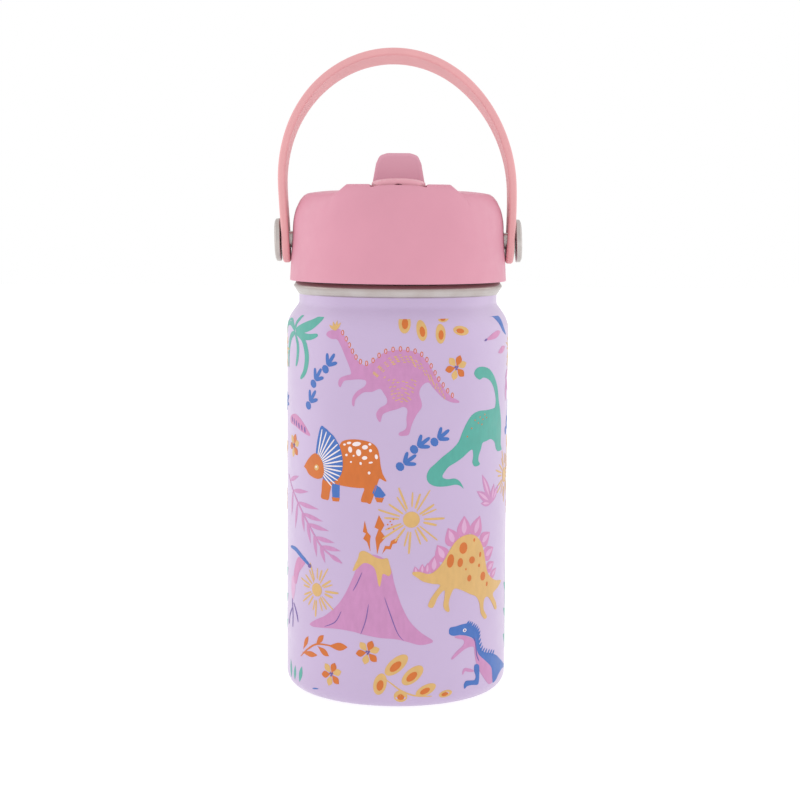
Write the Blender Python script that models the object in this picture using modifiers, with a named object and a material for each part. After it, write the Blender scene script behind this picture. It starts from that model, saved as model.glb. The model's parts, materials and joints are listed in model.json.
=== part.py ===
"""Insulated drinking bottle for a child, with a screw lid, a flip spout and a carry handle.

Frame: +Z up, origin at the middle of the base. The folded spout points to -Y, which is the
front, and the two pins of the handle lie along X. Every length is in metres.
"""

import math

import bmesh
import bpy
from mathutils import Matrix

MM = 0.001
GAP = 0.3 * MM                      # clearance between pieces that touch on the real bottle

# Body: a painted steel shell round a steel liner, with the vacuum between them
BODY_R = 36.5 * MM
SHELL_T = 0.6 * MM
CORNER_R = 5.0 * MM                 # rounding where the wall meets the base
FOOT_OUTER_R = BODY_R - CORNER_R
FOOT_INNER_R = 29.2 * MM            # the bottle stands on the ring between these two radii
FOOT_LIP_Z = 1.8 * MM
SHOULDER_Z = 120.0 * MM             # the wall starts to draw in here
NECK_Z = 128.4 * MM                 # and is at its narrowest from here up
NECK_R = 32.6 * MM
SHOULDER_BEND = 4.2 * MM            # how far the shoulder's curve follows the wall
NECK_BEND = 1.4 * MM                # and how far it follows the neck
NECK_TOP_Z = 131.0 * MM
BASE_PLATE_Z = (1.0 * MM, 1.8 * MM)
POINT_R = 3.0 * MM                  # soldered bead that seals the vacuum
POINT_EDGE_R = 2.4 * MM
POINT_H = 0.45 * MM
POINT_EDGE_H = 0.3 * MM
GETTER_R = 6.0 * MM
GETTER_T = 1.4 * MM

LINER_R = 32.8 * MM                 # inside of the drink space
LINER_FLOOR_Z = 5.0 * MM
LINER_CORNER_R = 7.0 * MM
MOUTH_R = 30.2 * MM                 # inside of the neck, at the root of its thread
MOUTH_START_Z = 116.0 * MM
LINER_SHOULDER_Z = 112.0 * MM

RIM_TOP_Z = 135.1 * MM              # bare steel rim that shows under the lid
RIM_OUTER_R = 34.4 * MM
RIM_FOOT_R = 33.0 * MM
RIM_ROUND = 0.7 * MM

# Screw thread of the lid, right-handed
THREAD_PITCH = 5.0 * MM
THREAD_TURNS = 1.25                 # the lid is free after this many turns
THREAD_Z = 121.0 * MM
THREAD_DEPTH = 1.25 * MM
THREAD_ROOT_W = 2.2 * MM
THREAD_CREST_W = 0.9 * MM
THREAD_BITE = 0.4 * MM              # how far a ridge is sunk into its wall

# Lid
LID_Z = 135.4 * MM                  # lower edge of the lid
LID_R = 35.65 * MM
LID_SHOULDER_H = 16.4 * MM          # the side wall is straight up to here
LID_SHOULDER_R = 34.7 * MM
LID_ROUND_R = 5.9 * MM
LID_ROUND_H = 12.1 * MM
LID_DECK_H = 29.3 * MM              # crown of the top, in the middle
LID_CROWN_R = 19.0 * MM
LID_WALL_T = 2.6 * MM
LID_EDGE = 0.4 * MM
DECK_UNDER_Z = LID_Z + 25.8 * MM

PLATFORM_Z = 166.6 * MM             # raised step across the middle of the lid's top
PLATFORM_TOP_W = 33.0 * MM
PLATFORM_FOOT_W = 37.2 * MM
PLATFORM_R = 27.5 * MM              # its flat top ends here and rolls over into the side wall
PLATFORM_END = 30.0                 # degrees at which that roll is inside the lid's own
TUB_HALF_W = 11.6 * MM              # solid tub under the deck that holds the spout's channel
TUB_Y = (-30.4 * MM, 8.2 * MM)
TUB_Z = 156.9 * MM

PLUG_FLANGE_R = 32.7 * MM
PLUG_FLANGE_Z = (137.3 * MM, 139.8 * MM)
PLUG_R = 27.25 * MM
PLUG_T = 2.5 * MM
PLUG_Z = 117.0 * MM
GASKET_R = (30.7 * MM, 32.8 * MM)
GASKET_Z = (135.4 * MM, 137.0 * MM)
VENT_Y = 16.0 * MM                  # place of the air valve in the plug's floor
VENT_HOLE_R = 2.0 * MM
VENT_CAP_R = (4.5 * MM, 3.5 * MM)
VENT_CAP_H = (1.0 * MM, 1.3 * MM)   # at its edge and in its middle
VENT_STEM_H = 1.2 * MM
FOAM_LIFT = 1.6 * MM                # room under the foam ring for the valve

# Spout
PIVOT_Z = 164.4 * MM                # axis of the spout's hinge, over the middle of the bottle
BARREL_R = 4.2 * MM                 # half of the spout's thickness, and its rounded heel
SPOUT_HALF_W = 8.6 * MM
SPOUT_CROWN = 1.7 * MM              # how far the spout's back bulges over the platform
SPOUT_FOOT_HALF_W = 7.0 * MM
SPOUT_FOOT_H = 2.0 * MM
SPOUT_TIP_Y = -27.5 * MM
SPOUT_SPLIT_Y = -17.5 * MM          # the soft mouthpiece starts here
TIP_TAPER = (0.84, 0.88)            # width and thickness at the tip, as shares of the full ones
PASSAGE_R = 3.0 * MM
CHANNEL_HALF_W = 8.95 * MM
CHANNEL_Y = (-28.3 * MM, 5.0 * MM)
CHANNEL_Z = 159.9 * MM
LEVER_Y = (-9.0 * MM, -5.2 * MM)    # thumb lever, in front of the hinge
LEVER_TOP_Z = 176.8 * MM
LEVER_FOOT_HALF_W = 8.6 * MM
LEVER_FOOT_H = 2.0 * MM
LEVER_TOP_HALF_W = 7.1 * MM
LEVER_ROUND = 3.4 * MM
SPOUT_PIN_R = 1.3 * MM
SPOUT_PIN_X = (5.2 * MM, 11.0 * MM)
SEAL_R = (3.3 * MM, 5.2 * MM)
SEAL_Z = (157.9 * MM, 159.9 * MM)

# Straw
STRAW_R = (3.1 * MM, 4.0 * MM)
STRAW_Z = (9.0 * MM, 131.0 * MM)
SOCKET_R = 6.0 * MM
SOCKET_Z = (108.0 * MM, 156.6 * MM)
SOCKET_STEP_Z = 132.0 * MM

# Handle and its pins
PIN_Z = 148.5 * MM
HANDLE_LEAN = math.radians(-6.5)    # at rest the loop leans a little to the back
HANDLE_T = 2.5 * MM
HANDLE_HALF_W = 39.0 * MM           # outside, at the foot of the arch
HANDLE_EYE_X = 38.1 * MM            # outside, at the pins
STRAIGHT_H = 4.0 * MM               # the strap is straight up to here
ARCH_H = 18.0 * MM                  # the arch starts this far over the pins
ARCH_RISE = 44.1 * MM
HANDLE_SWAY = 1.7 * MM              # the soft loop hangs over this far to the left
SWAY_H = 55.0 * MM                  # all of it from this far over the pins
EYE_R = 7.5 * MM
EYE_HOLE_R = 3.1 * MM
STRAP_HALF_D = 7.0 * MM             # half the width of the strap at the pins
GRIP_HALF_D = 8.6 * MM              # and at the top of the loop
GRIP_START = 0.75                   # share of the loop's height from which it has that width
PIN_R = 2.8 * MM
PIN_HEAD_R = 7.1 * MM
PIN_HEAD_X = (38.6 * MM, 40.5 * MM)
PIN_TAIL_R = 4.3 * MM
PIN_TAIL_X = (28.9 * MM, 30.1 * MM)
PIN_EDGE = 0.4 * MM
WASHER_R = 5.4 * MM
WASHER_X = (30.4 * MM, 31.4 * MM)

FINE = 48                           # facets round the outer turned pieces
MEDIUM = 36
COARSE = 24
SMALL = 16
ARCH_STEPS = 32
CUT_MARGIN = 5.0 * MM               # how far a cutter runs past what it cuts

# Colour, roughness and metallic value of each kind of surface
LILAC_PAINT = ((0.60, 0.47, 0.72), 0.45, 0.0)
BARE_STEEL = ((0.62, 0.60, 0.58), 0.30, 1.0)
PINK_PLASTIC = ((0.74, 0.34, 0.43), 0.50, 0.0)
STRAP_PINK = ((0.78, 0.40, 0.42), 0.55, 0.0)
WHITE_PLASTIC = ((0.80, 0.80, 0.78), 0.40, 0.0)
CLEAR_STRAW = ((0.72, 0.80, 0.82), 0.20, 0.0)
SILICONE = ((0.75, 0.73, 0.72), 0.60, 0.0)
FOAM = ((0.85, 0.83, 0.76), 0.90, 0.0)


def clear_scene():
    for obj in list(bpy.data.objects):
        bpy.data.objects.remove(obj, do_unlink=True)


def new_collection(name):
    collection = bpy.data.collections.new(name)
    bpy.context.scene.collection.children.link(collection)
    return collection


clear_scene()
PIECES = new_collection("kids_water_bottle")
CUTTERS = new_collection("cutters")


def surface(name, look):
    """A plain Principled material of its own for one piece."""
    color, roughness, metallic = look
    material = bpy.data.materials.new(name)
    material.use_nodes = True
    shader = material.node_tree.nodes["Principled BSDF"]
    shader.inputs["Base Color"].default_value = (*color, 1.0)
    shader.inputs["Roughness"].default_value = roughness
    shader.inputs["Metallic"].default_value = metallic
    return material


def place(name, mesh, look, location=(0.0, 0.0, 0.0), rotation=(0.0, 0.0, 0.0)):
    """Put a mesh into the scene: a piece when it has a look, else a cutter."""
    obj = bpy.data.objects.new(name, mesh)
    obj.location = location
    obj.rotation_euler = rotation
    if look is None:
        CUTTERS.objects.link(obj)
        obj.hide_render = True
        obj.display_type = "WIRE"
    else:
        PIECES.objects.link(obj)
        mesh.materials.append(surface(name + "_surface", look))
    return obj


def arc(centre, radii, start, end, steps):
    """Points of an elliptical arc, both ends included. Angles are in degrees."""
    points = []
    for i in range(steps + 1):
        angle = math.radians(start + (end - start) * i / steps)
        points.append((centre[0] + radii[0] * math.cos(angle), centre[1] + radii[1] * math.sin(angle)))
    return points


def bezier(p0, p1, p2, p3, steps):
    """Points of a cubic Bezier curve, both ends included."""
    points = []
    for i in range(steps + 1):
        t = i / steps
        weights = ((1 - t) ** 3, 3 * t * (1 - t) ** 2, 3 * t * t * (1 - t), t ** 3)
        points.append(tuple(sum(w * p[k] for w, p in zip(weights, (p0, p1, p2, p3))) for k in (0, 1)))
    return points


def turned(name, profile, look, segments, closed=False, **placing):
    """Turn a profile of (radius, height) points round Z. It runs down its outer side."""
    bm = bmesh.new()
    verts = [bm.verts.new((r, 0.0, z)) for r, z in profile]
    for a, b in zip(verts, verts[1:]):
        bm.edges.new((a, b))
    if closed:
        bm.edges.new((verts[-1], verts[0]))
    mesh = bpy.data.meshes.new(name)
    bm.to_mesh(mesh)
    bm.free()
    obj = place(name, mesh, look, **placing)
    screw = obj.modifiers.new("turn", "SCREW")
    screw.axis = "Z"
    screw.angle = 2 * math.pi
    screw.steps = segments
    screw.render_steps = segments
    screw.use_merge_vertices = True
    screw.merge_threshold = 0.00001
    screw.use_smooth_shade = True
    return obj


def extruded(name, outline, half_depth, look, turn, **placing):
    """A flat outline given thickness. turn takes the outline's plane to its own."""
    curve = bpy.data.curves.new(name, "CURVE")
    curve.dimensions = "2D"
    curve.fill_mode = "BOTH"
    curve.extrude = half_depth
    spline = curve.splines.new("POLY")
    spline.points.add(len(outline) - 1)
    for point, (u, v) in zip(spline.points, outline):
        point.co = (u, v, 0.0, 1.0)
    spline.use_cyclic_u = True
    flat = bpy.data.objects.new(name + "_outline", curve)
    CUTTERS.objects.link(flat)
    bpy.context.view_layer.update()
    mesh = bpy.data.meshes.new_from_object(flat.evaluated_get(bpy.context.evaluated_depsgraph_get()))
    bpy.data.objects.remove(flat)
    bpy.data.curves.remove(curve)
    bm = bmesh.new()
    bm.from_mesh(mesh)
    bmesh.ops.remove_doubles(bm, verts=bm.verts, dist=0.000001)
    bmesh.ops.recalc_face_normals(bm, faces=bm.faces)
    bm.to_mesh(mesh)
    bm.free()
    mesh.transform(turn)
    mesh.name = name
    return place(name, mesh, look, **placing)


# An outline in X and Z that is given thickness along Y, and one in Y and Z, along X
ALONG_Y = Matrix.Rotation(math.pi / 2, 4, "X")
ALONG_X = Matrix.Rotation(math.pi / 2, 4, "Z") @ ALONG_Y

# What lays an upright rod along each axis
ROD_TURNS = {
    "X": Matrix.Rotation(math.pi / 2, 4, "Y"),
    "Y": Matrix.Rotation(-math.pi / 2, 4, "X"),
    "Z": Matrix.Identity(4),
}


def box_cutter(name, low, high):
    bm = bmesh.new()
    bmesh.ops.create_cube(bm, size=1.0)
    size = [b - a for a, b in zip(low, high)]
    middle = [(a + b) / 2 for a, b in zip(low, high)]
    bmesh.ops.transform(bm, verts=bm.verts, matrix=Matrix.Translation(middle) @ Matrix.Diagonal((*size, 1.0)))
    mesh = bpy.data.meshes.new(name)
    bm.to_mesh(mesh)
    bm.free()
    return place(name, mesh, None)


def rod_cutter(name, radius, start, end, axis, segments=COARSE, **placing):
    """A cylinder along axis from start to end, measured along that axis from the placing."""
    bm = bmesh.new()
    bmesh.ops.create_cone(
        bm,
        cap_ends=True,
        segments=segments,
        radius1=radius,
        radius2=radius,
        depth=end - start,
        matrix=Matrix.Translation((0.0, 0.0, (start + end) / 2)),
    )
    mesh = bpy.data.meshes.new(name)
    bm.to_mesh(mesh)
    bm.free()
    mesh.transform(ROD_TURNS[axis])
    return place(name, mesh, None, **placing)


def combine(obj, other, operation):
    boolean = obj.modifiers.new(operation.lower() + "_" + other.name, "BOOLEAN")
    boolean.operation = operation
    boolean.solver = "EXACT"
    boolean.object = other


def soften(obj, angle=35.0):
    """Shade the curved stretches smooth and keep the edges sharp."""
    obj.data.shade_smooth()
    obj.data.set_sharp_from_angle(angle=math.radians(angle))


def thread_ridge(name, wall_r, inward):
    """A helical ridge on a wall of the given radius, rising anticlockwise."""
    side = -1.0 if inward else 1.0
    root = wall_r - side * THREAD_BITE
    crest = wall_r + side * THREAD_DEPTH
    outline = [
        (root, -THREAD_ROOT_W / 2),
        (crest, -THREAD_CREST_W / 2),
        (crest, THREAD_CREST_W / 2),
        (root, THREAD_ROOT_W / 2),
    ]
    bm = bmesh.new()
    face = bm.faces.new([bm.verts.new((r, 0.0, THREAD_Z + z)) for r, z in outline])
    steps = round(THREAD_TURNS * MEDIUM)
    bmesh.ops.spin(
        bm,
        geom=[face, *face.edges, *face.verts],
        cent=(0.0, 0.0, 0.0),
        axis=(0.0, 0.0, 1.0),
        dvec=(0.0, 0.0, THREAD_PITCH * THREAD_TURNS / steps),
        angle=2 * math.pi * THREAD_TURNS,
        steps=steps,
        use_duplicate=False,
    )
    bmesh.ops.recalc_face_normals(bm, faces=bm.faces)
    mesh = bpy.data.meshes.new(name)
    bm.to_mesh(mesh)
    bm.free()
    return place(name, mesh, None)


def ring(r_in, r_out, z_low, z_high):
    """Profile of a plain ring."""
    return [(r_out, z_high), (r_out, z_low), (r_in, z_low), (r_in, z_high)]


# ---------------------------------------------------------------- body

def make_outer_shell():
    """Painted outer wall: neck, shoulder, straight wall, rounded corner and foot ring."""
    inner_r = BODY_R - SHELL_T
    shoulder = bezier(
        (NECK_R, NECK_Z),
        (NECK_R, NECK_Z - NECK_BEND),
        (BODY_R, SHOULDER_Z + SHOULDER_BEND),
        (BODY_R, SHOULDER_Z),
        5,
    )
    profile = [(NECK_R, NECK_TOP_Z)]
    profile += shoulder
    profile += arc((FOOT_OUTER_R, CORNER_R), (CORNER_R, CORNER_R), 0, -90, 4)
    profile += [(FOOT_INNER_R, 0.0), (FOOT_INNER_R, FOOT_LIP_Z)]
    profile += [(FOOT_INNER_R + SHELL_T, FOOT_LIP_Z), (FOOT_INNER_R + SHELL_T, SHELL_T)]
    corner = CORNER_R - SHELL_T
    profile += arc((FOOT_OUTER_R, CORNER_R), (corner, corner), -90, 0, 3)
    profile += [(inner_r, SHOULDER_Z)]
    profile += [(r - SHELL_T, z) for r, z in reversed(shoulder[1:-1:2])]
    profile += [(NECK_R - SHELL_T, NECK_TOP_Z)]
    turned("outer_shell", profile, LILAC_PAINT, FINE, closed=True)


def make_base():
    """Welded base plate, the soldered evacuation point under it and the getter over it."""
    low, high = BASE_PLATE_Z
    plate_r = FOOT_INNER_R - GAP
    plate = [(0.0, high), (plate_r, high), (plate_r, low), (0.0, low)]
    turned("base_plate", plate, LILAC_PAINT, FINE)
    top = low - GAP
    point = [(0.0, top), (POINT_R, top), (POINT_EDGE_R, top - POINT_EDGE_H), (0.0, top - POINT_H)]
    turned("vacuum_seal", point, BARE_STEEL, COARSE)
    getter_z = high + GAP
    getter = [(0.0, getter_z + GETTER_T), (GETTER_R, getter_z + GETTER_T), (GETTER_R, getter_z), (0.0, getter_z)]
    turned("getter", getter, BARE_STEEL, COARSE)


def make_inner_liner():
    """Steel cup that holds the drink, with the rolled thread inside its neck."""
    corner_r = LINER_R - LINER_CORNER_R
    corner_z = LINER_FLOOR_Z + LINER_CORNER_R
    outer_corner = LINER_CORNER_R + SHELL_T
    profile = [(0.0, LINER_FLOOR_Z)]
    profile += arc((corner_r, corner_z), (LINER_CORNER_R, LINER_CORNER_R), -90, 0, 3)
    profile += [(LINER_R, LINER_SHOULDER_Z), (MOUTH_R, MOUTH_START_Z), (MOUTH_R, NECK_TOP_Z)]
    profile += [(MOUTH_R + SHELL_T, NECK_TOP_Z), (MOUTH_R + SHELL_T, MOUTH_START_Z + GAP)]
    profile += [(LINER_R + SHELL_T, LINER_SHOULDER_Z + GAP)]
    profile += arc((corner_r, corner_z), (outer_corner, outer_corner), 0, -90, 3)
    profile += [(0.0, LINER_FLOOR_Z - SHELL_T)]
    liner = turned("inner_liner", profile, BARE_STEEL, MEDIUM)
    combine(liner, thread_ridge("neck_thread", MOUTH_R, inward=True), "UNION")


def make_rim_ring():
    """Bare steel rim over the neck, which the lid seals against."""
    low = NECK_TOP_Z + GAP
    profile = [(RIM_OUTER_R - RIM_ROUND, RIM_TOP_Z), (RIM_OUTER_R, RIM_TOP_Z - RIM_ROUND)]
    profile += [(RIM_FOOT_R, low), (MOUTH_R, low)]
    profile += [(MOUTH_R, RIM_TOP_Z - RIM_ROUND), (MOUTH_R + RIM_ROUND, RIM_TOP_Z)]
    turned("rim_ring", profile, BARE_STEEL, FINE, closed=True)


# ---------------------------------------------------------------- lid

def lid_outer_profile():
    """Top and side of the lid, from its axis outwards and down."""
    crown_z = LID_Z + LID_DECK_H
    centre = (LID_SHOULDER_R - LID_ROUND_R, LID_Z + LID_SHOULDER_H)
    profile = [(0.0, crown_z), (LID_CROWN_R, crown_z)]
    profile += arc(centre, (LID_ROUND_R, LID_ROUND_H), 90, 0, 7)
    profile += [(LID_R, LID_Z + LID_EDGE), (LID_R - LID_EDGE, LID_Z)]
    return profile


def lid_inner_profile():
    """Inside of the lid, from its lower edge up and in to the axis."""
    centre = (LID_SHOULDER_R - LID_ROUND_R, LID_Z + LID_SHOULDER_H)
    inner_round = (LID_ROUND_R - LID_WALL_T, DECK_UNDER_Z - centre[1])
    profile = [(LID_R - LID_WALL_T, LID_Z)]
    profile += arc(centre, inner_round, 0, 90, 3)
    profile += [(0.0, DECK_UNDER_Z)]
    return profile


def make_lid_shell():
    """Lid with its raised step, the tub and channel for the spout, and the holes for pins."""
    lid = turned("lid_shell", lid_outer_profile() + lid_inner_profile(), PINK_PLASTIC, FINE)

    shoulder_z = LID_Z + LID_SHOULDER_H
    step_round = (LID_SHOULDER_R - GAP - PLATFORM_R, PLATFORM_Z - shoulder_z)
    step = [(0.0, PLATFORM_Z)]
    step += arc((PLATFORM_R, shoulder_z), step_round, 90, PLATFORM_END, 5)
    step_foot = step[-1][1]
    step += [(0.0, step_foot)]
    platform = turned("platform_disc", step, None, FINE)
    crown_z = LID_Z + LID_DECK_H
    slope = (PLATFORM_FOOT_W - PLATFORM_TOP_W) / 2 / (PLATFORM_Z - crown_z)
    low = step_foot - MM
    high = PLATFORM_Z + CUT_MARGIN
    low_half = PLATFORM_FOOT_W / 2 + slope * (crown_z - low)
    high_half = PLATFORM_TOP_W / 2 - slope * CUT_MARGIN
    sides = [(-low_half, low), (low_half, low), (high_half, high), (-high_half, high)]
    combine(platform, extruded("platform_sides", sides, LID_R, None, ALONG_Y), "INTERSECT")
    combine(lid, platform, "UNION")

    tub = box_cutter("tub", (-TUB_HALF_W, TUB_Y[0], TUB_Z), (TUB_HALF_W, TUB_Y[1], DECK_UNDER_Z + MM))
    combine(lid, tub, "UNION")
    channel_low = (-CHANNEL_HALF_W, CHANNEL_Y[0], CHANNEL_Z)
    channel_high = (CHANNEL_HALF_W, CHANNEL_Y[1], PLATFORM_Z + CUT_MARGIN)
    combine(lid, box_cutter("channel", channel_low, channel_high), "DIFFERENCE")

    seal_seat = rod_cutter("seal_seat", SEAL_R[1] + GAP, SEAL_Z[0] - GAP, CHANNEL_Z + MM, "Z")
    combine(lid, seal_seat, "DIFFERENCE")
    combine(lid, rod_cutter("passage", PASSAGE_R, TUB_Z - MM, CHANNEL_Z, "Z"), "DIFFERENCE")
    spout_hole = SPOUT_PIN_X[1] + GAP
    pin_bore = rod_cutter(
        "spout_pin_bore", SPOUT_PIN_R + GAP, -spout_hole, spout_hole, "X", location=(0.0, 0.0, PIVOT_Z)
    )
    combine(lid, pin_bore, "DIFFERENCE")
    handle_bore = rod_cutter("handle_pin_bore", EYE_HOLE_R, -LID_R, LID_R, "X", location=(0.0, 0.0, PIN_Z))
    combine(lid, handle_bore, "DIFFERENCE")


def make_lid_plug():
    """Threaded cup under the lid, with the flange that presses on the gasket."""
    floor_top = PLUG_Z + PLUG_T
    bore = SOCKET_R + GAP
    profile = [(PLUG_FLANGE_R, PLUG_FLANGE_Z[1]), (PLUG_FLANGE_R, PLUG_FLANGE_Z[0])]
    profile += [(PLUG_R, PLUG_FLANGE_Z[0]), (PLUG_R, PLUG_Z + MM), (PLUG_R - MM, PLUG_Z)]
    profile += [(bore, PLUG_Z), (bore, floor_top), (PLUG_R - PLUG_T, floor_top)]
    profile += [(PLUG_R - PLUG_T, PLUG_FLANGE_Z[1])]
    plug = turned("lid_plug", profile, WHITE_PLASTIC, MEDIUM, closed=True)
    combine(plug, thread_ridge("plug_thread", PLUG_R, inward=False), "UNION")
    vent_hole = rod_cutter(
        "vent_hole", VENT_HOLE_R, PLUG_Z - MM, floor_top + MM, "Z", segments=SMALL, location=(0.0, VENT_Y, 0.0)
    )
    combine(plug, vent_hole, "DIFFERENCE")


def make_lid_inserts():
    """Gasket, insulation, straw socket, air valve and the seal under the spout."""
    turned("lid_gasket", ring(*GASKET_R, *GASKET_Z), SILICONE, MEDIUM, closed=True)

    foam_r = (SOCKET_R + GAP, PLUG_R - PLUG_T - GAP)
    foam_z = (PLUG_Z + PLUG_T + FOAM_LIFT, PLUG_FLANGE_Z[1] - GAP)
    turned("insulation_ring", ring(*foam_r, *foam_z), FOAM, COARSE, closed=True)

    socket = [(SOCKET_R, SOCKET_Z[1]), (SOCKET_R, SOCKET_Z[0]), (STRAW_R[1] + GAP, SOCKET_Z[0])]
    socket += [(STRAW_R[1] + GAP, SOCKET_STEP_Z), (PASSAGE_R, SOCKET_STEP_Z), (PASSAGE_R, SOCKET_Z[1])]
    turned("straw_socket", socket, SILICONE, COARSE, closed=True)

    cap_z = PLUG_Z - GAP
    stem_r = VENT_HOLE_R - GAP
    stem_top = PLUG_Z + PLUG_T + VENT_STEM_H
    valve = [(0.0, stem_top), (stem_r, stem_top), (stem_r, cap_z), (VENT_CAP_R[0], cap_z)]
    valve += [(VENT_CAP_R[1], cap_z - VENT_CAP_H[0]), (0.0, cap_z - VENT_CAP_H[1])]
    turned("vent_valve", valve, SILICONE, SMALL, location=(0.0, VENT_Y, 0.0))

    turned("spout_seal", ring(*SEAL_R, *SEAL_Z), SILICONE, COARSE, closed=True)


# ---------------------------------------------------------------- spout

def spout_section(half_w, foot_half_w, crown):
    """Cross-section of the spout in X and Z, measured from its hinge axis."""
    shoulder = BARREL_R - crown
    radius = (half_w ** 2 + crown ** 2) / (2 * crown)
    sweep = math.degrees(math.asin(half_w / radius))
    outline = [(-foot_half_w, -BARREL_R), (foot_half_w, -BARREL_R), (half_w, -BARREL_R + SPOUT_FOOT_H)]
    outline += arc((0.0, shoulder + crown - radius), (radius, radius), 90 - sweep, 90 + sweep, 8)
    outline += [(-half_w, -BARREL_R + SPOUT_FOOT_H)]
    return outline


def make_spout():
    """Flip spout, folded down: a flat nozzle with a round heel, a thumb lever and a soft tip."""
    pivot = (0.0, 0.0, PIVOT_Z)
    section = spout_section(SPOUT_HALF_W, SPOUT_FOOT_HALF_W, SPOUT_CROWN)
    side = arc((0.0, 0.0), (BARREL_R, BARREL_R), -90, 90, 8)
    side += [(SPOUT_SPLIT_Y, BARREL_R), (SPOUT_SPLIT_Y, -BARREL_R)]
    spout = extruded("spout", side, SPOUT_HALF_W, PINK_PLASTIC, ALONG_X, location=pivot)
    bar = extruded("spout_bar", section, -SPOUT_TIP_Y + CUT_MARGIN, None, ALONG_Y, location=pivot)
    combine(spout, bar, "INTERSECT")

    top = LEVER_TOP_Z - PIVOT_Z
    foot = BARREL_R - SPOUT_CROWN - MM
    round_centre = LEVER_TOP_HALF_W - LEVER_ROUND
    lever = [(-LEVER_FOOT_HALF_W + MM, foot), (LEVER_FOOT_HALF_W - MM, foot)]
    lever += [(LEVER_FOOT_HALF_W, foot + LEVER_FOOT_H)]
    lever += arc((round_centre, top - LEVER_ROUND), (LEVER_ROUND, LEVER_ROUND), 0, 90, 4)
    lever += arc((-round_centre, top - LEVER_ROUND), (LEVER_ROUND, LEVER_ROUND), 90, 180, 4)
    lever += [(-LEVER_FOOT_HALF_W, foot + LEVER_FOOT_H)]
    middle = (LEVER_Y[0] + LEVER_Y[1]) / 2
    half = (LEVER_Y[1] - LEVER_Y[0]) / 2
    tab = extruded("lever_tab", lever, half, None, ALONG_Y, location=(0.0, middle, PIVOT_Z))
    combine(spout, tab, "UNION")
    combine(spout, rod_cutter("spout_bore", PASSAGE_R, SPOUT_TIP_Y, CUT_MARGIN, "Y", location=pivot), "DIFFERENCE")
    reach = SPOUT_HALF_W + MM
    for sign, side_name in ((-1, "left"), (1, "right")):
        ends = sorted((sign * (SPOUT_PIN_X[0] - GAP), sign * reach))
        hole = rod_cutter("spout_eye_" + side_name, SPOUT_PIN_R + GAP, *ends, "X", segments=SMALL, location=pivot)
        combine(spout, hole, "DIFFERENCE")

    length = SPOUT_SPLIT_Y - GAP - SPOUT_TIP_Y
    tip_y = (SPOUT_SPLIT_Y - GAP + SPOUT_TIP_Y) / 2
    tip = extruded("mouthpiece", section, length / 2, SILICONE, ALONG_Y, location=(0.0, tip_y, PIVOT_Z))
    for vertex in tip.data.vertices:
        if vertex.co.y < 0.0:
            vertex.co.x *= TIP_TAPER[0]
            vertex.co.z *= TIP_TAPER[1]
    combine(tip, rod_cutter("mouth_bore", PASSAGE_R, SPOUT_TIP_Y - MM, 0.0, "Y", location=pivot), "DIFFERENCE")

    for sign, side_name in ((-1, "left"), (1, "right")):
        low, high = SPOUT_PIN_X
        pin = [(0.0, high), (SPOUT_PIN_R, high), (SPOUT_PIN_R, low), (0.0, low)]
        turn = (0.0, sign * math.pi / 2, 0.0)
        turned("spout_pin_" + side_name, pin, BARE_STEEL, SMALL, location=pivot, rotation=turn)


# ---------------------------------------------------------------- straw and handle

def make_straw():
    turned("straw", ring(*STRAW_R, *STRAW_Z), CLEAR_STRAW, COARSE, closed=True)


def swayed(outline):
    """The loop's outline with its upper part moved over to the left."""
    result = []
    for x, h in outline:
        share = min(1.0, max(0.0, h / SWAY_H))
        result.append((x - HANDLE_SWAY * share * share * (3 - 2 * share), h))
    return result


def make_handle():
    """Soft strap: two flat eyes on the pins, joined by an arch that widens to the grip."""
    inner_x = HANDLE_EYE_X - HANDLE_T
    inner_w = HANDLE_HALF_W - HANDLE_T
    outer = [(HANDLE_EYE_X, -EYE_R), (HANDLE_EYE_X, STRAIGHT_H)]
    outer += arc((0.0, ARCH_H), (HANDLE_HALF_W, ARCH_RISE), 0, 180, ARCH_STEPS)
    outer += [(-HANDLE_EYE_X, STRAIGHT_H), (-HANDLE_EYE_X, -EYE_R)]
    inner = [(-inner_x, -EYE_R), (-inner_x, STRAIGHT_H)]
    inner += arc((0.0, ARCH_H), (inner_w, ARCH_RISE - HANDLE_T), 180, 0, ARCH_STEPS)
    inner += [(inner_x, STRAIGHT_H), (inner_x, -EYE_R)]
    pose = {"location": (0.0, 0.0, PIN_Z), "rotation": (HANDLE_LEAN, 0.0, 0.0)}
    handle = extruded("handle", swayed(outer + inner), GRIP_HALF_D + MM, STRAP_PINK, ALONG_Y, **pose)

    top = ARCH_H + ARCH_RISE
    shoulder = math.degrees(math.acos(STRAP_HALF_D / EYE_R))
    side = arc((0.0, 0.0), (EYE_R, EYE_R), -180 + shoulder, -shoulder, 8)
    side += [(STRAP_HALF_D, ARCH_H), (GRIP_HALF_D, top * GRIP_START), (GRIP_HALF_D, top + MM)]
    side += [(-GRIP_HALF_D, top + MM), (-GRIP_HALF_D, top * GRIP_START), (-STRAP_HALF_D, ARCH_H)]
    width = extruded("strap_width", side, HANDLE_HALF_W + MM, None, ALONG_X, **pose)
    combine(handle, width, "INTERSECT")
    reach = HANDLE_HALF_W + MM
    combine(handle, rod_cutter("handle_eyes", EYE_HOLE_R, -reach, reach, "X", **pose), "DIFFERENCE")


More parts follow.
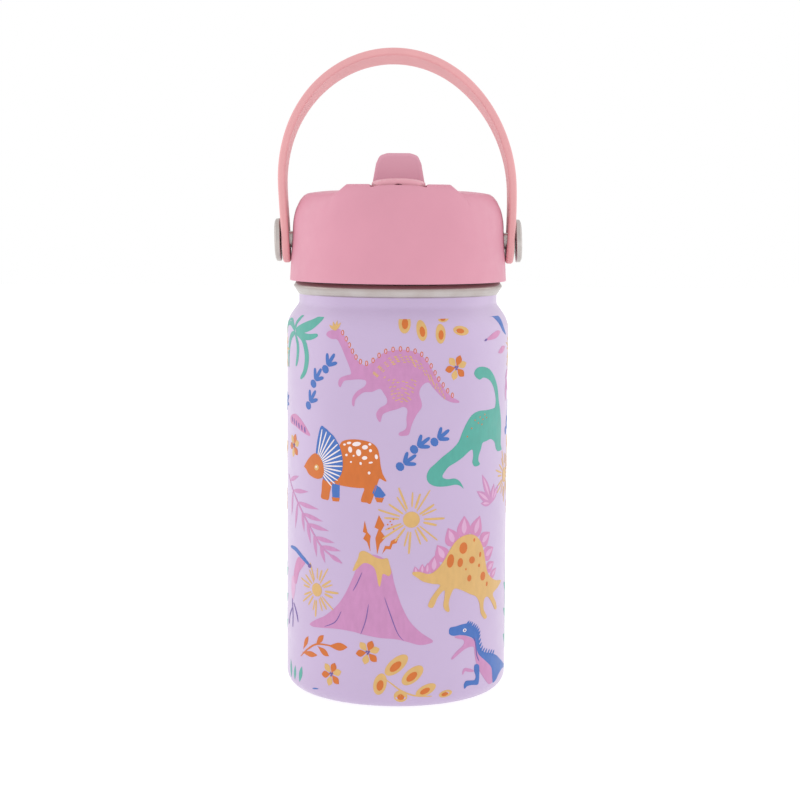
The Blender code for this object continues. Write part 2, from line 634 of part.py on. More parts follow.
def make_handle_pins():
    """Steel pins with wide flat heads, and the washers that hold them inside the lid."""
    for sign, side_name in ((-1, "left"), (1, "right")):
        turn = (0.0, sign * math.pi / 2, 0.0)
        centre = (0.0, 0.0, PIN_Z)
        head_low, head_high = PIN_HEAD_X
        tail_low, tail_high = PIN_TAIL_X
        pin = [(0.0, head_high), (PIN_HEAD_R - PIN_EDGE, head_high), (PIN_HEAD_R, head_high - PIN_EDGE)]
        pin += [(PIN_HEAD_R, head_low), (PIN_R, head_low), (PIN_R, tail_high)]
        pin += [(PIN_TAIL_R, tail_high), (PIN_TAIL_R, tail_low), (0.0, tail_low)]
        turned("handle_pin_" + side_name, pin, BARE_STEEL, COARSE, location=centre, rotation=turn)
        washer = ring(EYE_HOLE_R, WASHER_R, *WASHER_X)
        turned("pin_washer_" + side_name, washer, BARE_STEEL, SMALL, closed=True, location=centre, rotation=turn)


make_outer_shell()
make_base()
make_inner_liner()
make_rim_ring()
make_lid_shell()
make_lid_plug()
make_lid_inserts()
make_spout()
make_straw()
make_handle()
make_handle_pins()
for piece in PIECES.objects:
    soften(piece)
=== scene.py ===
"""Looks of the children's drinking bottle: fine meshes, materials, light and the printed wall.

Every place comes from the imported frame. Shapes are drawn in millimetres and turned into metres
as their mesh is made. The print is drawn flat: u runs along the wall to the right from the
middle of the front, and v runs up from the base.
"""

import json
import math

import bmesh
import bpy
import numpy as np
from mathutils import Matrix, Vector
from mathutils.geometry import delaunay_2d_cdt


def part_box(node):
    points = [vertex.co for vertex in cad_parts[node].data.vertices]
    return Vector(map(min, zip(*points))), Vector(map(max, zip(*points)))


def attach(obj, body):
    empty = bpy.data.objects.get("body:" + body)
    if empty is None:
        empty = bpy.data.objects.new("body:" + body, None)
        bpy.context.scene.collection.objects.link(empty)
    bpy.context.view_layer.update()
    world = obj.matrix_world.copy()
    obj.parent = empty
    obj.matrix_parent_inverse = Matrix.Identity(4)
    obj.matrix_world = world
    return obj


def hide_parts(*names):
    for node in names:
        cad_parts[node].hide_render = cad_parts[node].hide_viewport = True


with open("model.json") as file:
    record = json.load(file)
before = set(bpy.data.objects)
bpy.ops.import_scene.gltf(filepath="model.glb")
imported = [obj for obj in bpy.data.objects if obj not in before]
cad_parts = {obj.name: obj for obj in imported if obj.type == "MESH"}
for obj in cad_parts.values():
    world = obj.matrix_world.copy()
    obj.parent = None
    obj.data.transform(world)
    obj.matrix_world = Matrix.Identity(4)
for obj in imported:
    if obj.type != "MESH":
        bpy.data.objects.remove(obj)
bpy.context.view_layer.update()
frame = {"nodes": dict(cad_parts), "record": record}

MM = 0.001
TAU = 2 * math.pi
SCENE = bpy.context.scene


# ---------------------------------------------------------------- sizes, in millimetres

def box_mm(node):
    """Lowest and highest corner of a CAD node, in millimetres."""
    low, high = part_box(node)
    return Vector(low) / MM, Vector(high) / MM


def joint_height(name):
    """Height of a joint's axis, in millimetres."""
    for joint in frame["record"]["behaviour"]["joints"]:
        if joint["name"] == name:
            return joint["pos_m"][2] / MM
    return None


SHELL_HIGH = box_mm("outer_shell")[1]
RIM_LOW, RIM_HIGH = box_mm("rim_ring")
PLATE_LOW, PLATE_HIGH = box_mm("base_plate")
POINT_LOW, POINT_HIGH = box_mm("vacuum_seal")
LID_LOW, LID_HIGH = box_mm("lid_shell")
PLUG_LOW, PLUG_HIGH = box_mm("lid_plug")
GASKET_LOW, GASKET_HIGH = box_mm("lid_gasket")
SOCKET_LOW, SOCKET_HIGH = box_mm("straw_socket")
VALVE_LOW, VALVE_HIGH = box_mm("vent_valve")
SEAL_LOW, SEAL_HIGH = box_mm("spout_seal")
STRAW_LOW, STRAW_HIGH = box_mm("straw")
SPOUT_HIGH = box_mm("spout")[1]
MOUTH_LOW, MOUTH_HIGH = box_mm("mouthpiece")
PIN_LOW, PIN_HIGH = box_mm("handle_pin_right")
PIVOT_Z = joint_height("spout_flip")
PIN_Z = joint_height("handle_swing")

BODY_R = SHELL_HIGH.x
CORNER_R = 5.0
SHOULDER_Z = 120.0
NECK_Z = 128.4
NECK_R = 32.6
NECK_TOP = SHELL_HIGH.z
MOUTH_R = 30.2
SHELL_T = 0.6
FOOT_R = (29.2, 31.5)               # inner and outer radius of the foot ring

LID_Z = LID_LOW.z
LID_R = LID_HIGH.x
LID_SHOULDER = (34.7, LID_Z + 16.4)  # radius and height at which the side rolls over
LID_ROUND = (5.9, 12.1)             # how far it rolls inwards and upwards
LID_JOIN_R = 33.6                   # where the mesh of the top meets that of the side
LID_CROWN_Z = LID_Z + 29.3
LID_CROWN_R = 19.0
LID_WALL = 2.6
TUB_R = LID_R - LID_WALL - 2.0
STEP_Z = LID_HIGH.z
STEP_R = 27.5
STEP_HALF_TOP = 16.5
STEP_HALF_FOOT = 18.6
LID_SOFTNESS = 0.22                 # rounding along the step's edges, which fades towards the side
CHANNEL_HALF = 8.95
CHANNEL_Y = (-28.3, 5.0)
CHANNEL_FLOOR = 159.9
TUB_Z = 156.9
PASSAGE_R = 3.0
HOLE_STEPS = 64

THREAD_PITCH = 5.0
THREAD_TURNS = 1.25
THREAD_Z = 121.0
THREAD_DEPTH = 1.25
THREAD_ROOT = 2.2
THREAD_CREST = 0.9

BARREL_R = 4.2
SPOUT_HALF = SPOUT_HIGH.x
SPOUT_CROWN = 1.7
SPOUT_FOOT_HALF = 7.0
LEVER_Y = (-9.0, -5.2)
LEVER_TOP_HALF = 7.1
LEVER_ROUND = 3.4

STRAP_T = 2.5
STRAP_LEAN = math.radians(-6.5)
STRAP_EYE_X = 36.85
STRAP_HALF_W = 37.75
STRAP_ARCH_H = 18.0
STRAP_RISE = 42.85
STRAP_SWAY = 1.7
SWAY_H = 55.0
EYE_R = 7.5
EYE_HOLE_R = 3.1
PIN_TILT = math.radians(1.8)        # the strap pulls both heads over to the left
PIN_HEAD_X = 38.6                   # inner face of the disc
PIN_NECK_R = 2.8
PIN_FOOT_R = 4.3
PIN_FOOT_T = 1.2
STRAP_HALF_D = 7.0
GRIP_HALF_D = 8.6
GRIP_START = 28.0                   # how far from its end the strap begins to widen
GRIP_RUN = 36.0

SEGMENTS = 256


# ---------------------------------------------------------------- mesh tools

def arc(centre, radii, start, end, steps):
    """Points of an elliptical arc, both ends included. Angles are in degrees."""
    points = []
    for i in range(steps + 1):
        angle = math.radians(start + (end - start) * i / steps)
        points.append((centre[0] + radii[0] * math.cos(angle), centre[1] + radii[1] * math.sin(angle)))
    return points


def bezier(points, steps):
    """Points of a Bezier curve of any degree, both ends included."""
    result = []
    for i in range(steps + 1):
        t = i / steps
        level = [Vector(p) for p in points]
        while len(level) > 1:
            level = [a.lerp(b, t) for a, b in zip(level, level[1:])]
        result.append(tuple(level[0]))
    return result


def filleted(corners, closed=True, steps=5):
    """An outline with its corners rounded. A corner is (x, y), or (x, y, radius)."""
    result = []
    for i, corner in enumerate(corners):
        here = Vector(corner[:2])
        if len(corner) < 3 or (not closed and i in (0, len(corners) - 1)):
            result.append(tuple(here))
            continue
        before = Vector(corners[i - 1][:2]) - here
        after = Vector(corners[(i + 1) % len(corners)][:2]) - here
        reach = corner[2] / math.tan(before.angle(after) / 2)
        reach = min(reach, before.length / 2, after.length / 2)
        ends = (here + before.normalized() * reach, here, here + after.normalized() * reach)
        result += bezier(ends, steps)
    return result


def dense(loop, spacing):
    """A closed loop with points no further apart than spacing."""
    result = []
    for a, b in zip(loop, loop[1:] + loop[:1]):
        count = max(1, math.ceil(math.dist(a, b) / spacing))
        for i in range(count):
            result.append((a[0] + (b[0] - a[0]) * i / count, a[1] + (b[1] - a[1]) * i / count))
    return result


def spline_span(corners, spacing):
    """The stretch from the second of four points up to the third, on a smooth curve through all."""
    p0, p1, p2, p3 = (np.array(corner, float) for corner in corners)
    steps = max(2, math.ceil(math.dist(p1, p2) / spacing))
    span = []
    for k in range(steps):
        t = k / steps
        bend = (2 * p0 - 5 * p1 + 4 * p2 - p3) * t + (3 * p1 - p0 - 3 * p2 + p3) * t * t
        span.append(p1 + (p2 - p0 + bend) * t / 2)
    return span


def smooth_loop(corners, spacing):
    """A closed curve through given points."""
    loop = []
    count = len(corners)
    for i in range(count):
        loop += spline_span([corners[(i + k) % count] for k in (-1, 0, 1, 2)], spacing)
    return [tuple(point) for point in loop]


def eased(share):
    """A share of 0 to 1 that starts and ends slowly."""
    return share * share * (3 - 2 * share)


def circle(radius, count, sense=1):
    """Points of a circle, anticlockwise, or clockwise if sense is -1."""
    angles = [TAU * i / count for i in range(count)]
    return [(radius * math.cos(a), sense * radius * math.sin(a)) for a in angles]


def inset(loop, distance):
    """The loop moved to its left by distance, which is inwards for one that runs anticlockwise."""
    points = np.array(loop)
    along = np.roll(points, -1, axis=0) - np.roll(points, 1, axis=0)
    along /= np.linalg.norm(along, axis=1)[:, None]
    return [tuple(p) for p in points + distance * np.stack([-along[:, 1], along[:, 0]], axis=1)]


def inside(points, loop):
    """Which of the points lie inside a closed loop."""
    x, y = np.array(points).reshape(-1, 2).T
    result = np.zeros(len(x), bool)
    for (x0, y0), (x1, y1) in zip(loop, loop[1:] + loop[:1]):
        if y0 != y1:
            crosses = (y0 > y) != (y1 > y)
            result ^= crosses & (x < (x1 - x0) * (y - y0) / (y1 - y0) + x0)
    return result


def grid_points(xs, ys):
    return [(x, y) for x in xs for y in ys]


def triangulated(loops, extra):
    """Points and triangles of the region inside the first loop and outside the others."""
    points = [p for loop in loops for p in loop]
    edges, start = [], 0
    for loop in loops:
        edges += [(start + i, start + (i + 1) % len(loop)) for i in range(len(loop))]
        start += len(loop)
    if extra:
        free = inside(extra, loops[0])
        for hole in loops[1:]:
            free &= ~inside(extra, hole)
        points += [p for p, keep in zip(extra, free) if keep]
    points, _, faces, *_ = delaunay_2d_cdt([Vector(p) for p in points], edges, [], 0, 1e-5)
    points = [tuple(p) for p in points]
    centres = [np.mean([points[i] for i in face], axis=0) for face in faces]
    keep = inside(centres, loops[0])
    for hole in loops[1:]:
        keep &= ~inside(centres, hole)
    return points, [tuple(face) for face, kept in zip(faces, keep) if kept]


class Shape:
    """Points in millimetres and faces, gathered from several parts."""

    def __init__(self):
        self.points = []
        self.faces = []

    def add(self, points, faces):
        start = len(self.points)
        self.points += [tuple(p) for p in points]
        self.faces += [tuple(start + i for i in face) for face in faces]
        return self

    def join(self, other):
        return self.add(other.points, other.faces)

    def bands(self, rows, closed=True, ring=True):
        """Quads between rows of equal length, which close round if ring is set."""
        count = len(rows[0])
        faces = []
        last = len(rows) if closed else len(rows) - 1
        for a in range(last):
            b = (a + 1) % len(rows)
            for i in range(count if ring else count - 1):
                j = (i + 1) % count
                faces.append((a * count + i, a * count + j, b * count + j, b * count + i))
        return self.add([p for row in rows for p in row], faces)

    def mesh(self, name, turn=None):
        """The mesh, in metres, with shared corners joined and its faces looking outwards."""
        mesh = bpy.data.meshes.new(name)
        mesh.from_pydata(self.points, [], self.faces)
        bm = bmesh.new()
        bm.from_mesh(mesh)
        bmesh.ops.remove_doubles(bm, verts=bm.verts, dist=0.002)
        bmesh.ops.dissolve_degenerate(bm, edges=bm.edges, dist=0.0005)
        bmesh.ops.recalc_face_normals(bm, faces=bm.faces)
        bm.to_mesh(mesh)
        bm.free()
        if turn is not None:
            mesh.transform(turn)
        mesh.transform(Matrix.Scale(MM, 4))
        return mesh


def turned(profile, segments=SEGMENTS, centre=(0.0, 0.0), closed=True):
    """A shape turned round an upright axis from a profile of (radius, height) points."""
    rows = []
    for radius, height in profile:
        row = []
        for i in range(segments):
            angle = TAU * i / segments
            across = (radius * math.cos(angle), radius * math.sin(angle))
            row.append((centre[0] + across[0], centre[1] + across[1], height))
        rows.append(row)
    return Shape().bands(rows, closed=closed)


def lofted(rows):
    """A closed solid through rows of equal length, with flat ends."""
    shape = Shape().bands(rows, closed=False)
    count = len(rows[0])
    last = (len(rows) - 1) * count
    shape.faces += [tuple(range(count)), tuple(range(last, last + count))]
    return shape


def thread(wall_r, side):
    """A helical ridge on a wall, on its outer side (1) or inner side (-1), with tapered ends."""
    steps = round(THREAD_TURNS * 96)
    run_out = 1 / 12                # share of a turn over which an end rises to full height
    sunk = 0.2
    rows = []
    for i in range(steps + 1):
        turn = THREAD_TURNS * i / steps
        taper = min(1.0, min(turn, THREAD_TURNS - turn) / run_out + 0.02)
        crest = wall_r + side * THREAD_DEPTH * taper
        root = wall_r - side * sunk
        section = filleted(
            [(root, -THREAD_ROOT / 2), (crest, -THREAD_CREST / 2, 0.3), (crest, THREAD_CREST / 2, 0.3),
             (root, THREAD_ROOT / 2)], steps=3)
        rise = THREAD_Z + THREAD_PITCH * turn
        angle = TAU * turn
        rows.append([(r * math.cos(angle), r * math.sin(angle), rise + z) for r, z in section])
    return lofted(rows)


FLAT_MARGIN = 0.1                   # keeps the shading of a rounded rim off the flat beside it


def slab(outline, thickness, edge, spacing, to_space, holes=(), steps=4, columns=None):
    """A plate with rounded rims. to_space takes a flat (u, v) and a height over the middle to 3-D.

    A plate that is bent along u is given columns, the places along u at which it bends.
    """
    shape = Shape()
    inner = []
    for loop in (outline, *holes):
        rows = []
        for side in (1, -1):
            levels = range(steps + 1) if side == 1 else range(steps, -1, -1)
            rising = []
            for k in levels:
                angle = math.pi / 2 * k / steps
                height = side * (thickness / 2 - edge + edge * math.sin(angle))
                flat = inset(loop, edge * (1 - math.cos(angle)))
                rising.append([to_space(u, v, height) for u, v in flat])
            level = [to_space(u, v, side * thickness / 2) for u, v in inset(loop, edge + FLAT_MARGIN)]
            rising.insert(len(rising) if side == 1 else 0, level)
            rows += rising
        middle = steps + 2
        shape.bands(rows[:middle], closed=False)
        shape.bands(rows[middle:], closed=False)
        shape.bands([rows[0], rows[-1]], closed=False)
        inner.append(inset(loop, edge + FLAT_MARGIN))
    low = np.min(outline, axis=0)
    high = np.max(outline, axis=0)
    xs = np.arange(low[0] + spacing / 2, high[0], spacing) if columns is None else columns
    ys = np.arange(low[1] + spacing / 2, high[1], spacing)
    room = [inset(loop, spacing * 0.4) for loop in inner]
    extra = np.array(grid_points(xs, ys))
    free = inside(extra, room[0])
    for hole in room[1:]:
        free &= ~inside(extra, hole)
    flat, faces = triangulated(inner, [tuple(p) for p in extra[free]])
    for side in (1, -1):
        shape.add([to_space(u, v, side * thickness / 2) for u, v in flat], faces)
    return shape


def piece(name, shape, body, material, nodes=(), sharp=38.0, turn=None):
    """Put a shape in the scene on its body, in place of the CAD nodes it stands for."""
    mesh = shape.mesh(name, turn)
    obj = bpy.data.objects.new(name, mesh)
    SCENE.collection.objects.link(obj)
    mesh.materials.append(material)
    mesh.shade_smooth()
    mesh.set_sharp_from_angle(angle=math.radians(sharp))
    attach(obj, body)
    if nodes:
        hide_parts(*nodes)
    return obj


# ---------------------------------------------------------------- materials

class Look:
    """A procedural material: a Principled shader fed by noise in the piece's own space."""

    def __init__(self, name, roughness, metallic=0.0):
        self.material = bpy.data.materials.new(name)
        self.material.use_nodes = True
        self.nodes = self.material.node_tree.nodes
        self.links = self.material.node_tree.links
        self.shader = self.nodes["Principled BSDF"]
        self.shader.inputs["Metallic"].default_value = metallic
        self.shader.inputs["Roughness"].default_value = roughness
        self.place = self.nodes.new("ShaderNodeTexCoord").outputs["Object"]
        self.normal = None

    def noise(self, scale, detail=2.0, vector=None):
        node = self.nodes.new("ShaderNodeTexNoise")
        node.inputs["Scale"].default_value = scale
        node.inputs["Detail"].default_value = detail
        self.links.new(vector or self.place, node.inputs["Vector"])
        return node.outputs["Fac"]

    def mapped(self, value, source, target=(0.0, 1.0)):
        """A value spread from one range to another."""
        node = self.nodes.new("ShaderNodeMapRange")
        limits = (*source, *target)
        for name, limit in zip(("From Min", "From Max", "To Min", "To Max"), limits):
            node.inputs[name].default_value = limit
        self.links.new(value, node.inputs["Value"])
        return node.outputs["Result"]

    def ranged(self, value, low, high):
        """The middle of a noise's values spread from low to high."""
        return self.mapped(value, (0.3, 0.7), (low, high))

    def ramp(self, value, low_mm, high_mm):
        """0 up to one length and 1 from another."""
        return self.mapped(value, (low_mm * MM, high_mm * MM))

    def mixed(self, factor, first, second):
        node = self.nodes.new("ShaderNodeMix")
        node.data_type = "RGBA"
        self.links.new(factor, node.inputs["Factor"])
        for socket, value in ((node.inputs["A"], first), (node.inputs["B"], second)):
            if isinstance(value, tuple):
                socket.default_value = (*value, 1.0)
            else:
                self.links.new(value, socket)
        return node.outputs["Result"]

    def colour(self, base, spread, scale):
        """Base colour that drifts a little darker and lighter."""
        factor = self.ranged(self.noise(scale, 3.0), 0.0, 1.0)
        dark = tuple(c * (1 - spread) for c in base)
        light = tuple(min(1.0, c * (1 + spread)) for c in base)
        drift = self.mixed(factor, dark, light)
        self.links.new(drift, self.shader.inputs["Base Color"])
        return drift

    def roughened(self, low, high, scale, vector=None):
        value = self.ranged(self.noise(scale, 4.0, vector), low, high)
        self.links.new(value, self.shader.inputs["Roughness"])

    def bump(self, height, depth_mm, strength=1.0):
        """A relief of that depth over the ones before it."""
        node = self.nodes.new("ShaderNodeBump")
        node.inputs["Strength"].default_value = strength
        node.inputs["Distance"].default_value = depth_mm * MM
        self.links.new(height, node.inputs["Height"])
        if self.normal is not None:
            self.links.new(self.normal, node.inputs["Normal"])
        self.normal = node.outputs["Normal"]
        self.links.new(self.normal, self.shader.inputs["Normal"])

    def around(self, axis):
        """Coordinates of distance from the axis and place along it, for marks left by turning."""
        split = self.nodes.new("ShaderNodeSeparateXYZ")
        self.links.new(self.place, split.inputs["Vector"])
        across = [split.outputs[name] for name in "XYZ" if name != axis]
        length = self.nodes.new("ShaderNodeVectorMath")
        length.operation = "LENGTH"
        flat = self.nodes.new("ShaderNodeCombineXYZ")
        self.links.new(across[0], flat.inputs["X"])
        self.links.new(across[1], flat.inputs["Y"])
        self.links.new(flat.outputs["Vector"], length.inputs[0])
        rings = self.nodes.new("ShaderNodeCombineXYZ")
        self.links.new(length.outputs["Value"], rings.inputs["X"])
        self.links.new(split.outputs[axis], rings.inputs["Y"])
        return rings.outputs["Vector"]


def painted(name, colour):
    """Powder coat: an even satin colour with the fine orange peel of baked powder."""
    look = Look(name, 0.42)
    look.colour(colour, spread=0.02, scale=45.0)
    look.roughened(0.36, 0.5, scale=220.0)
    look.bump(look.noise(1100.0, detail=2.0), depth_mm=0.01, strength=0.4)
    look.bump(look.noise(260.0, detail=1.0), depth_mm=0.015, strength=0.3)
    look.shader.inputs["Coat Weight"].default_value = 0.6
    look.shader.inputs["Coat Roughness"].default_value = 0.3
    return look.material


def moulded(name, colour, roughness, grain=2600.0):
    """Spark-eroded matt plastic."""
    look = Look(name, roughness)
    look.colour(colour, spread=0.025, scale=60.0)
    look.roughened(roughness - 0.07, roughness + 0.09, scale=300.0)
    look.bump(look.noise(grain, detail=3.0), depth_mm=0.012, strength=0.6)
    look.bump(look.noise(90.0, detail=1.0), depth_mm=0.04, strength=0.25)
    return look.material


def rubber(name, colour, roughness):
    """Soft matt silicone or TPE with a dry, slightly dusty skin."""
    look = Look(name, roughness)
    look.colour(colour, spread=0.03, scale=80.0)
    look.roughened(roughness - 0.06, roughness + 0.08, scale=500.0)
    look.bump(look.noise(1500.0, detail=2.0), depth_mm=0.004, strength=0.25)
    look.shader.inputs["Sheen Weight"].default_value = 0.12
    look.shader.inputs["Sheen Roughness"].default_value = 0.5
    return look.material


SHADE_RADII = (33.2, 33.7)            # painted shade sets in between these radii, so the rim's top keeps its own colour


def steel(name, colour, low, high, axis, lid_shade=None):
    """Turned stainless steel: fine rings round the axis, with faint stains.

    The last argument is the pair of heights between which painted shade turns it dark and brown, as under
    the edge of a lid.
    """
    look = Look(name, low, metallic=1.0)
    rings = look.around(axis)
    lines = look.noise(5200.0, detail=3.0, vector=rings)
    stains = look.ranged(look.noise(130.0, detail=4.0), 0.0, 1.0)
    dull = tuple(c * w for c, w in zip(colour, (0.86, 0.82, 0.80)))
    metal = look.mixed(stains, dull, colour)
    # painted shade: the steel turns dark brown towards the lid, where the lid's shadow falls
    if lid_shade:
        split = look.nodes.new("ShaderNodeSeparateXYZ")
        look.links.new(rings, split.inputs["Vector"])
        share = look.nodes.new("ShaderNodeMath")
        share.operation = "MULTIPLY"
        look.links.new(look.ramp(split.outputs["Y"], *lid_shade), share.inputs[0])
        look.links.new(look.ramp(split.outputs["X"], *SHADE_RADII), share.inputs[1])
        shaded_brown = tuple(c * w for c, w in zip(colour, (0.50, 0.38, 0.35)))
        metal = look.mixed(share.outputs["Value"], metal, shaded_brown)
    look.links.new(metal, look.shader.inputs["Base Color"])
    look.roughened(low, high, scale=3200.0, vector=rings)
    look.bump(lines, depth_mm=0.004, strength=0.5)
    look.shader.inputs["Anisotropic"].default_value = 0.4
    return look.material


LILAC = painted("powder_coat_lilac", (0.515, 0.395, 0.600))
PINK = moulded("moulded_pink", (0.665, 0.285, 0.375), 0.5)
# painted light: a lighter copy of the lid's pink, which brightens the spout where it stands in shade
SPOUT_PINK_LIT = moulded("moulded_pink_painted_light", (0.68, 0.34, 0.43), 0.5)
STRAP_PINK = rubber("strap_pink", (0.765, 0.37, 0.385), 0.6)
MOUTH_PINK = rubber("mouthpiece_pink", (0.72, 0.33, 0.40), 0.5)
# the rim gets painted shade just under the lid
RIM_STEEL = steel("rim_steel", (0.55, 0.515, 0.505), 0.24, 0.40, "Z", lid_shade=(132.7, 134.6))
LINER_STEEL = steel("liner_steel", (0.62, 0.60, 0.58), 0.28, 0.45, "Z")
PIN_STEEL = steel("pin_steel", (0.54, 0.50, 0.485), 0.20, 0.38, "X")
WHITE = moulded("moulded_white", (0.78, 0.77, 0.74), 0.4)
SILICONE = rubber("silicone_clear_grey", (0.70, 0.68, 0.67), 0.45)
FOAM = rubber("insulation_foam", (0.80, 0.78, 0.70), 0.85)


def straw_look():
    """Cloudy see-through polypropylene."""
    look = Look("straw_clear", 0.3)
    look.colour((0.86, 0.9, 0.92), spread=0.02, scale=70.0)
    look.roughened(0.38, 0.5, scale=240.0)
    look.bump(look.noise(300.0, detail=1.0), depth_mm=0.004, strength=0.3)
    look.shader.inputs["Transmission Weight"].default_value = 0.55
    look.shader.inputs["IOR"].default_value = 1.49
    return look.material


STRAW = straw_look()


# ---------------------------------------------------------------- bottle

def wall_profile():
    """Painted outside, from the foot ring up to the neck."""
    centre = (BODY_R - CORNER_R, CORNER_R)
    shoulder = bezier(
        ((BODY_R, SHOULDER_Z), (BODY_R, SHOULDER_Z + 4.2), (NECK_R, NECK_Z - 1.4), (NECK_R, NECK_Z)), 20)
    profile = arc(centre, (CORNER_R, CORNER_R), -90, 0, 16)
    profile += [(BODY_R, CORNER_R + (SHOULDER_Z - CORNER_R) * i / 24) for i in range(1, 24)]
    return profile + shoulder


def make_wall():
    inner_r = BODY_R - SHELL_T
    wall = wall_profile() + [(NECK_R, RIM_LOW.z), (NECK_R - SHELL_T, RIM_LOW.z)]
    wall += [(NECK_R - SHELL_T, NECK_Z), (inner_r, SHOULDER_Z), (inner_r, CORNER_R)]
    wall += arc((FOOT_R[1], CORNER_R), (CORNER_R - SHELL_T, CORNER_R - SHELL_T), 0, -90, 8)
    wall += [(FOOT_R[0] + SHELL_T, PLATE_HIGH.z), (FOOT_R[0], PLATE_HIGH.z)]
    foot = [(FOOT_R[0], PLATE_HIGH.z), (FOOT_R[0], 0.0, 0.5), (FOOT_R[1], 0.0)]
    wall += filleted(foot, closed=False)
    piece("outer_wall", turned(wall), "bottle", LILAC, ["outer_shell"])


def make_base():
    """The pressed plate, with a shallow ring and a dimple round the sealed evacuation point."""
    plate_r = FOOT_R[0]
    under = PLATE_LOW.z
    dimple = under + 0.3
    ring = under + 0.45
    plate = [(0.0, dimple), (4.0, dimple, 0.6), (5.2, under, 0.6), (17.0, under, 1.0)]
    plate += [(18.4, ring, 1.0), (22.0, ring, 1.0), (23.4, under, 1.0)]
    plate += [(plate_r - 0.8, under, 0.5), (plate_r, under - 0.3)]
    plate = filleted(plate, closed=False) + [(plate_r, PLATE_HIGH.z), (0.0, PLATE_HIGH.z)]
    piece("base_disc", turned(plate), "bottle", LILAC, ["base_plate"])

    point_r = POINT_HIGH.x
    sunk = POINT_HIGH.z + 0.6
    bead = [(0.0, sunk), (point_r, sunk), (point_r, POINT_HIGH.z)]
    bead += bezier(((point_r, POINT_HIGH.z), (point_r, POINT_LOW.z), (0.0, POINT_LOW.z)), 8)
    piece("evacuation_point", turned(bead, HOLE_STEPS), "bottle", RIM_STEEL,
          ["vacuum_seal"])


def make_rim():
    low, high = NECK_TOP, RIM_HIGH.z
    rim = filleted([
        (MOUTH_R, low), (NECK_R + 0.1, low), (NECK_R + 0.4, low + 0.35, 0.3),
        (RIM_HIGH.x, high - 1.5, 0.5), (RIM_HIGH.x - 0.9, high, 0.6), (MOUTH_R, high, 0.7)])
    piece("rim", turned(rim), "bottle", RIM_STEEL, ["rim_ring"])


def make_liner():
    liner_r = 32.8
    floor_z = 5.0
    corner = 7.0
    outer_corner = corner + SHELL_T
    centre = (liner_r - corner, floor_z + corner)
    neck = [(liner_r, 100.0), (liner_r, 112.0, 8.0), (MOUTH_R, 116.0, 8.0), (MOUTH_R, NECK_TOP)]
    neck = filleted(neck, closed=False, steps=8)
    cup = [(0.0, floor_z)] + arc(centre, (corner, corner), -90, 0, 16) + neck
    cup += [(r + SHELL_T * 0.98, z) for r, z in reversed(neck)]
    cup += arc(centre, (outer_corner, outer_corner), 0, -90, 16) + [(0.0, floor_z - SHELL_T)]
    liner = turned(cup, closed=False).join(thread(MOUTH_R, -1))
    piece("liner", liner, "bottle", LINER_STEEL, ["inner_liner"])


# ---------------------------------------------------------------- lid

def smooth_max(a, b, reach):
    return (a + b + np.sqrt((a - b) ** 2 + reach ** 2)) / 2


def smooth_min(a, b, reach):
    return (a + b - np.sqrt((a - b) ** 2 + reach ** 2)) / 2


def roll_over(r, start_r, shoulder_r, top, low):
    """Height of a flat top that rolls over into the side wall along an ellipse."""
    share = np.clip((r - start_r) / (shoulder_r - start_r), 0.0, 1.0)
    return low + (top - low) * np.sqrt(1 - share ** 2)


def lid_top(x, y):
    """Height of the lid's top, with the step across its middle."""
    x, y = np.asarray(x, float), np.asarray(y, float)
    r = np.hypot(x, y)
    round_start = LID_SHOULDER[0] - LID_ROUND[0]
    way_out = np.clip((r - LID_CROWN_R) / (round_start - LID_CROWN_R), 0, 1)
    fall = (LID_CROWN_Z - LID_SHOULDER[1] - LID_ROUND[1]) * way_out ** 2
    deck = roll_over(r, round_start, LID_SHOULDER[0], LID_SHOULDER[1] + LID_ROUND[1], LID_SHOULDER[1])
    deck = np.where(r < round_start, LID_CROWN_Z - fall, deck)
    step = roll_over(r, STEP_R, LID_SHOULDER[0] - 0.3, STEP_Z, LID_SHOULDER[1])
    slope = (STEP_Z - LID_CROWN_Z) / (STEP_HALF_FOOT - STEP_HALF_TOP)
    side = STEP_Z - (np.abs(x) - STEP_HALF_TOP) * slope
    soft = LID_SOFTNESS * np.clip((LID_JOIN_R - 0.1 - r) / 2.0, 0.0, 1.0)
    return smooth_max(deck, smooth_min(step, side, soft), soft)


def channel_loop(distance):
    """Outline of the spout's channel, that far outside its walls. It runs clockwise."""
    half = CHANNEL_HALF + distance
    low, high = CHANNEL_Y[0] - distance, CHANNEL_Y[1] + distance
    corner = 1.4 + distance
    corners = [(-half, high), (half, high), (half, low), (-half, low)]
    return dense(filleted([(*place, corner) for place in corners]), 0.6)


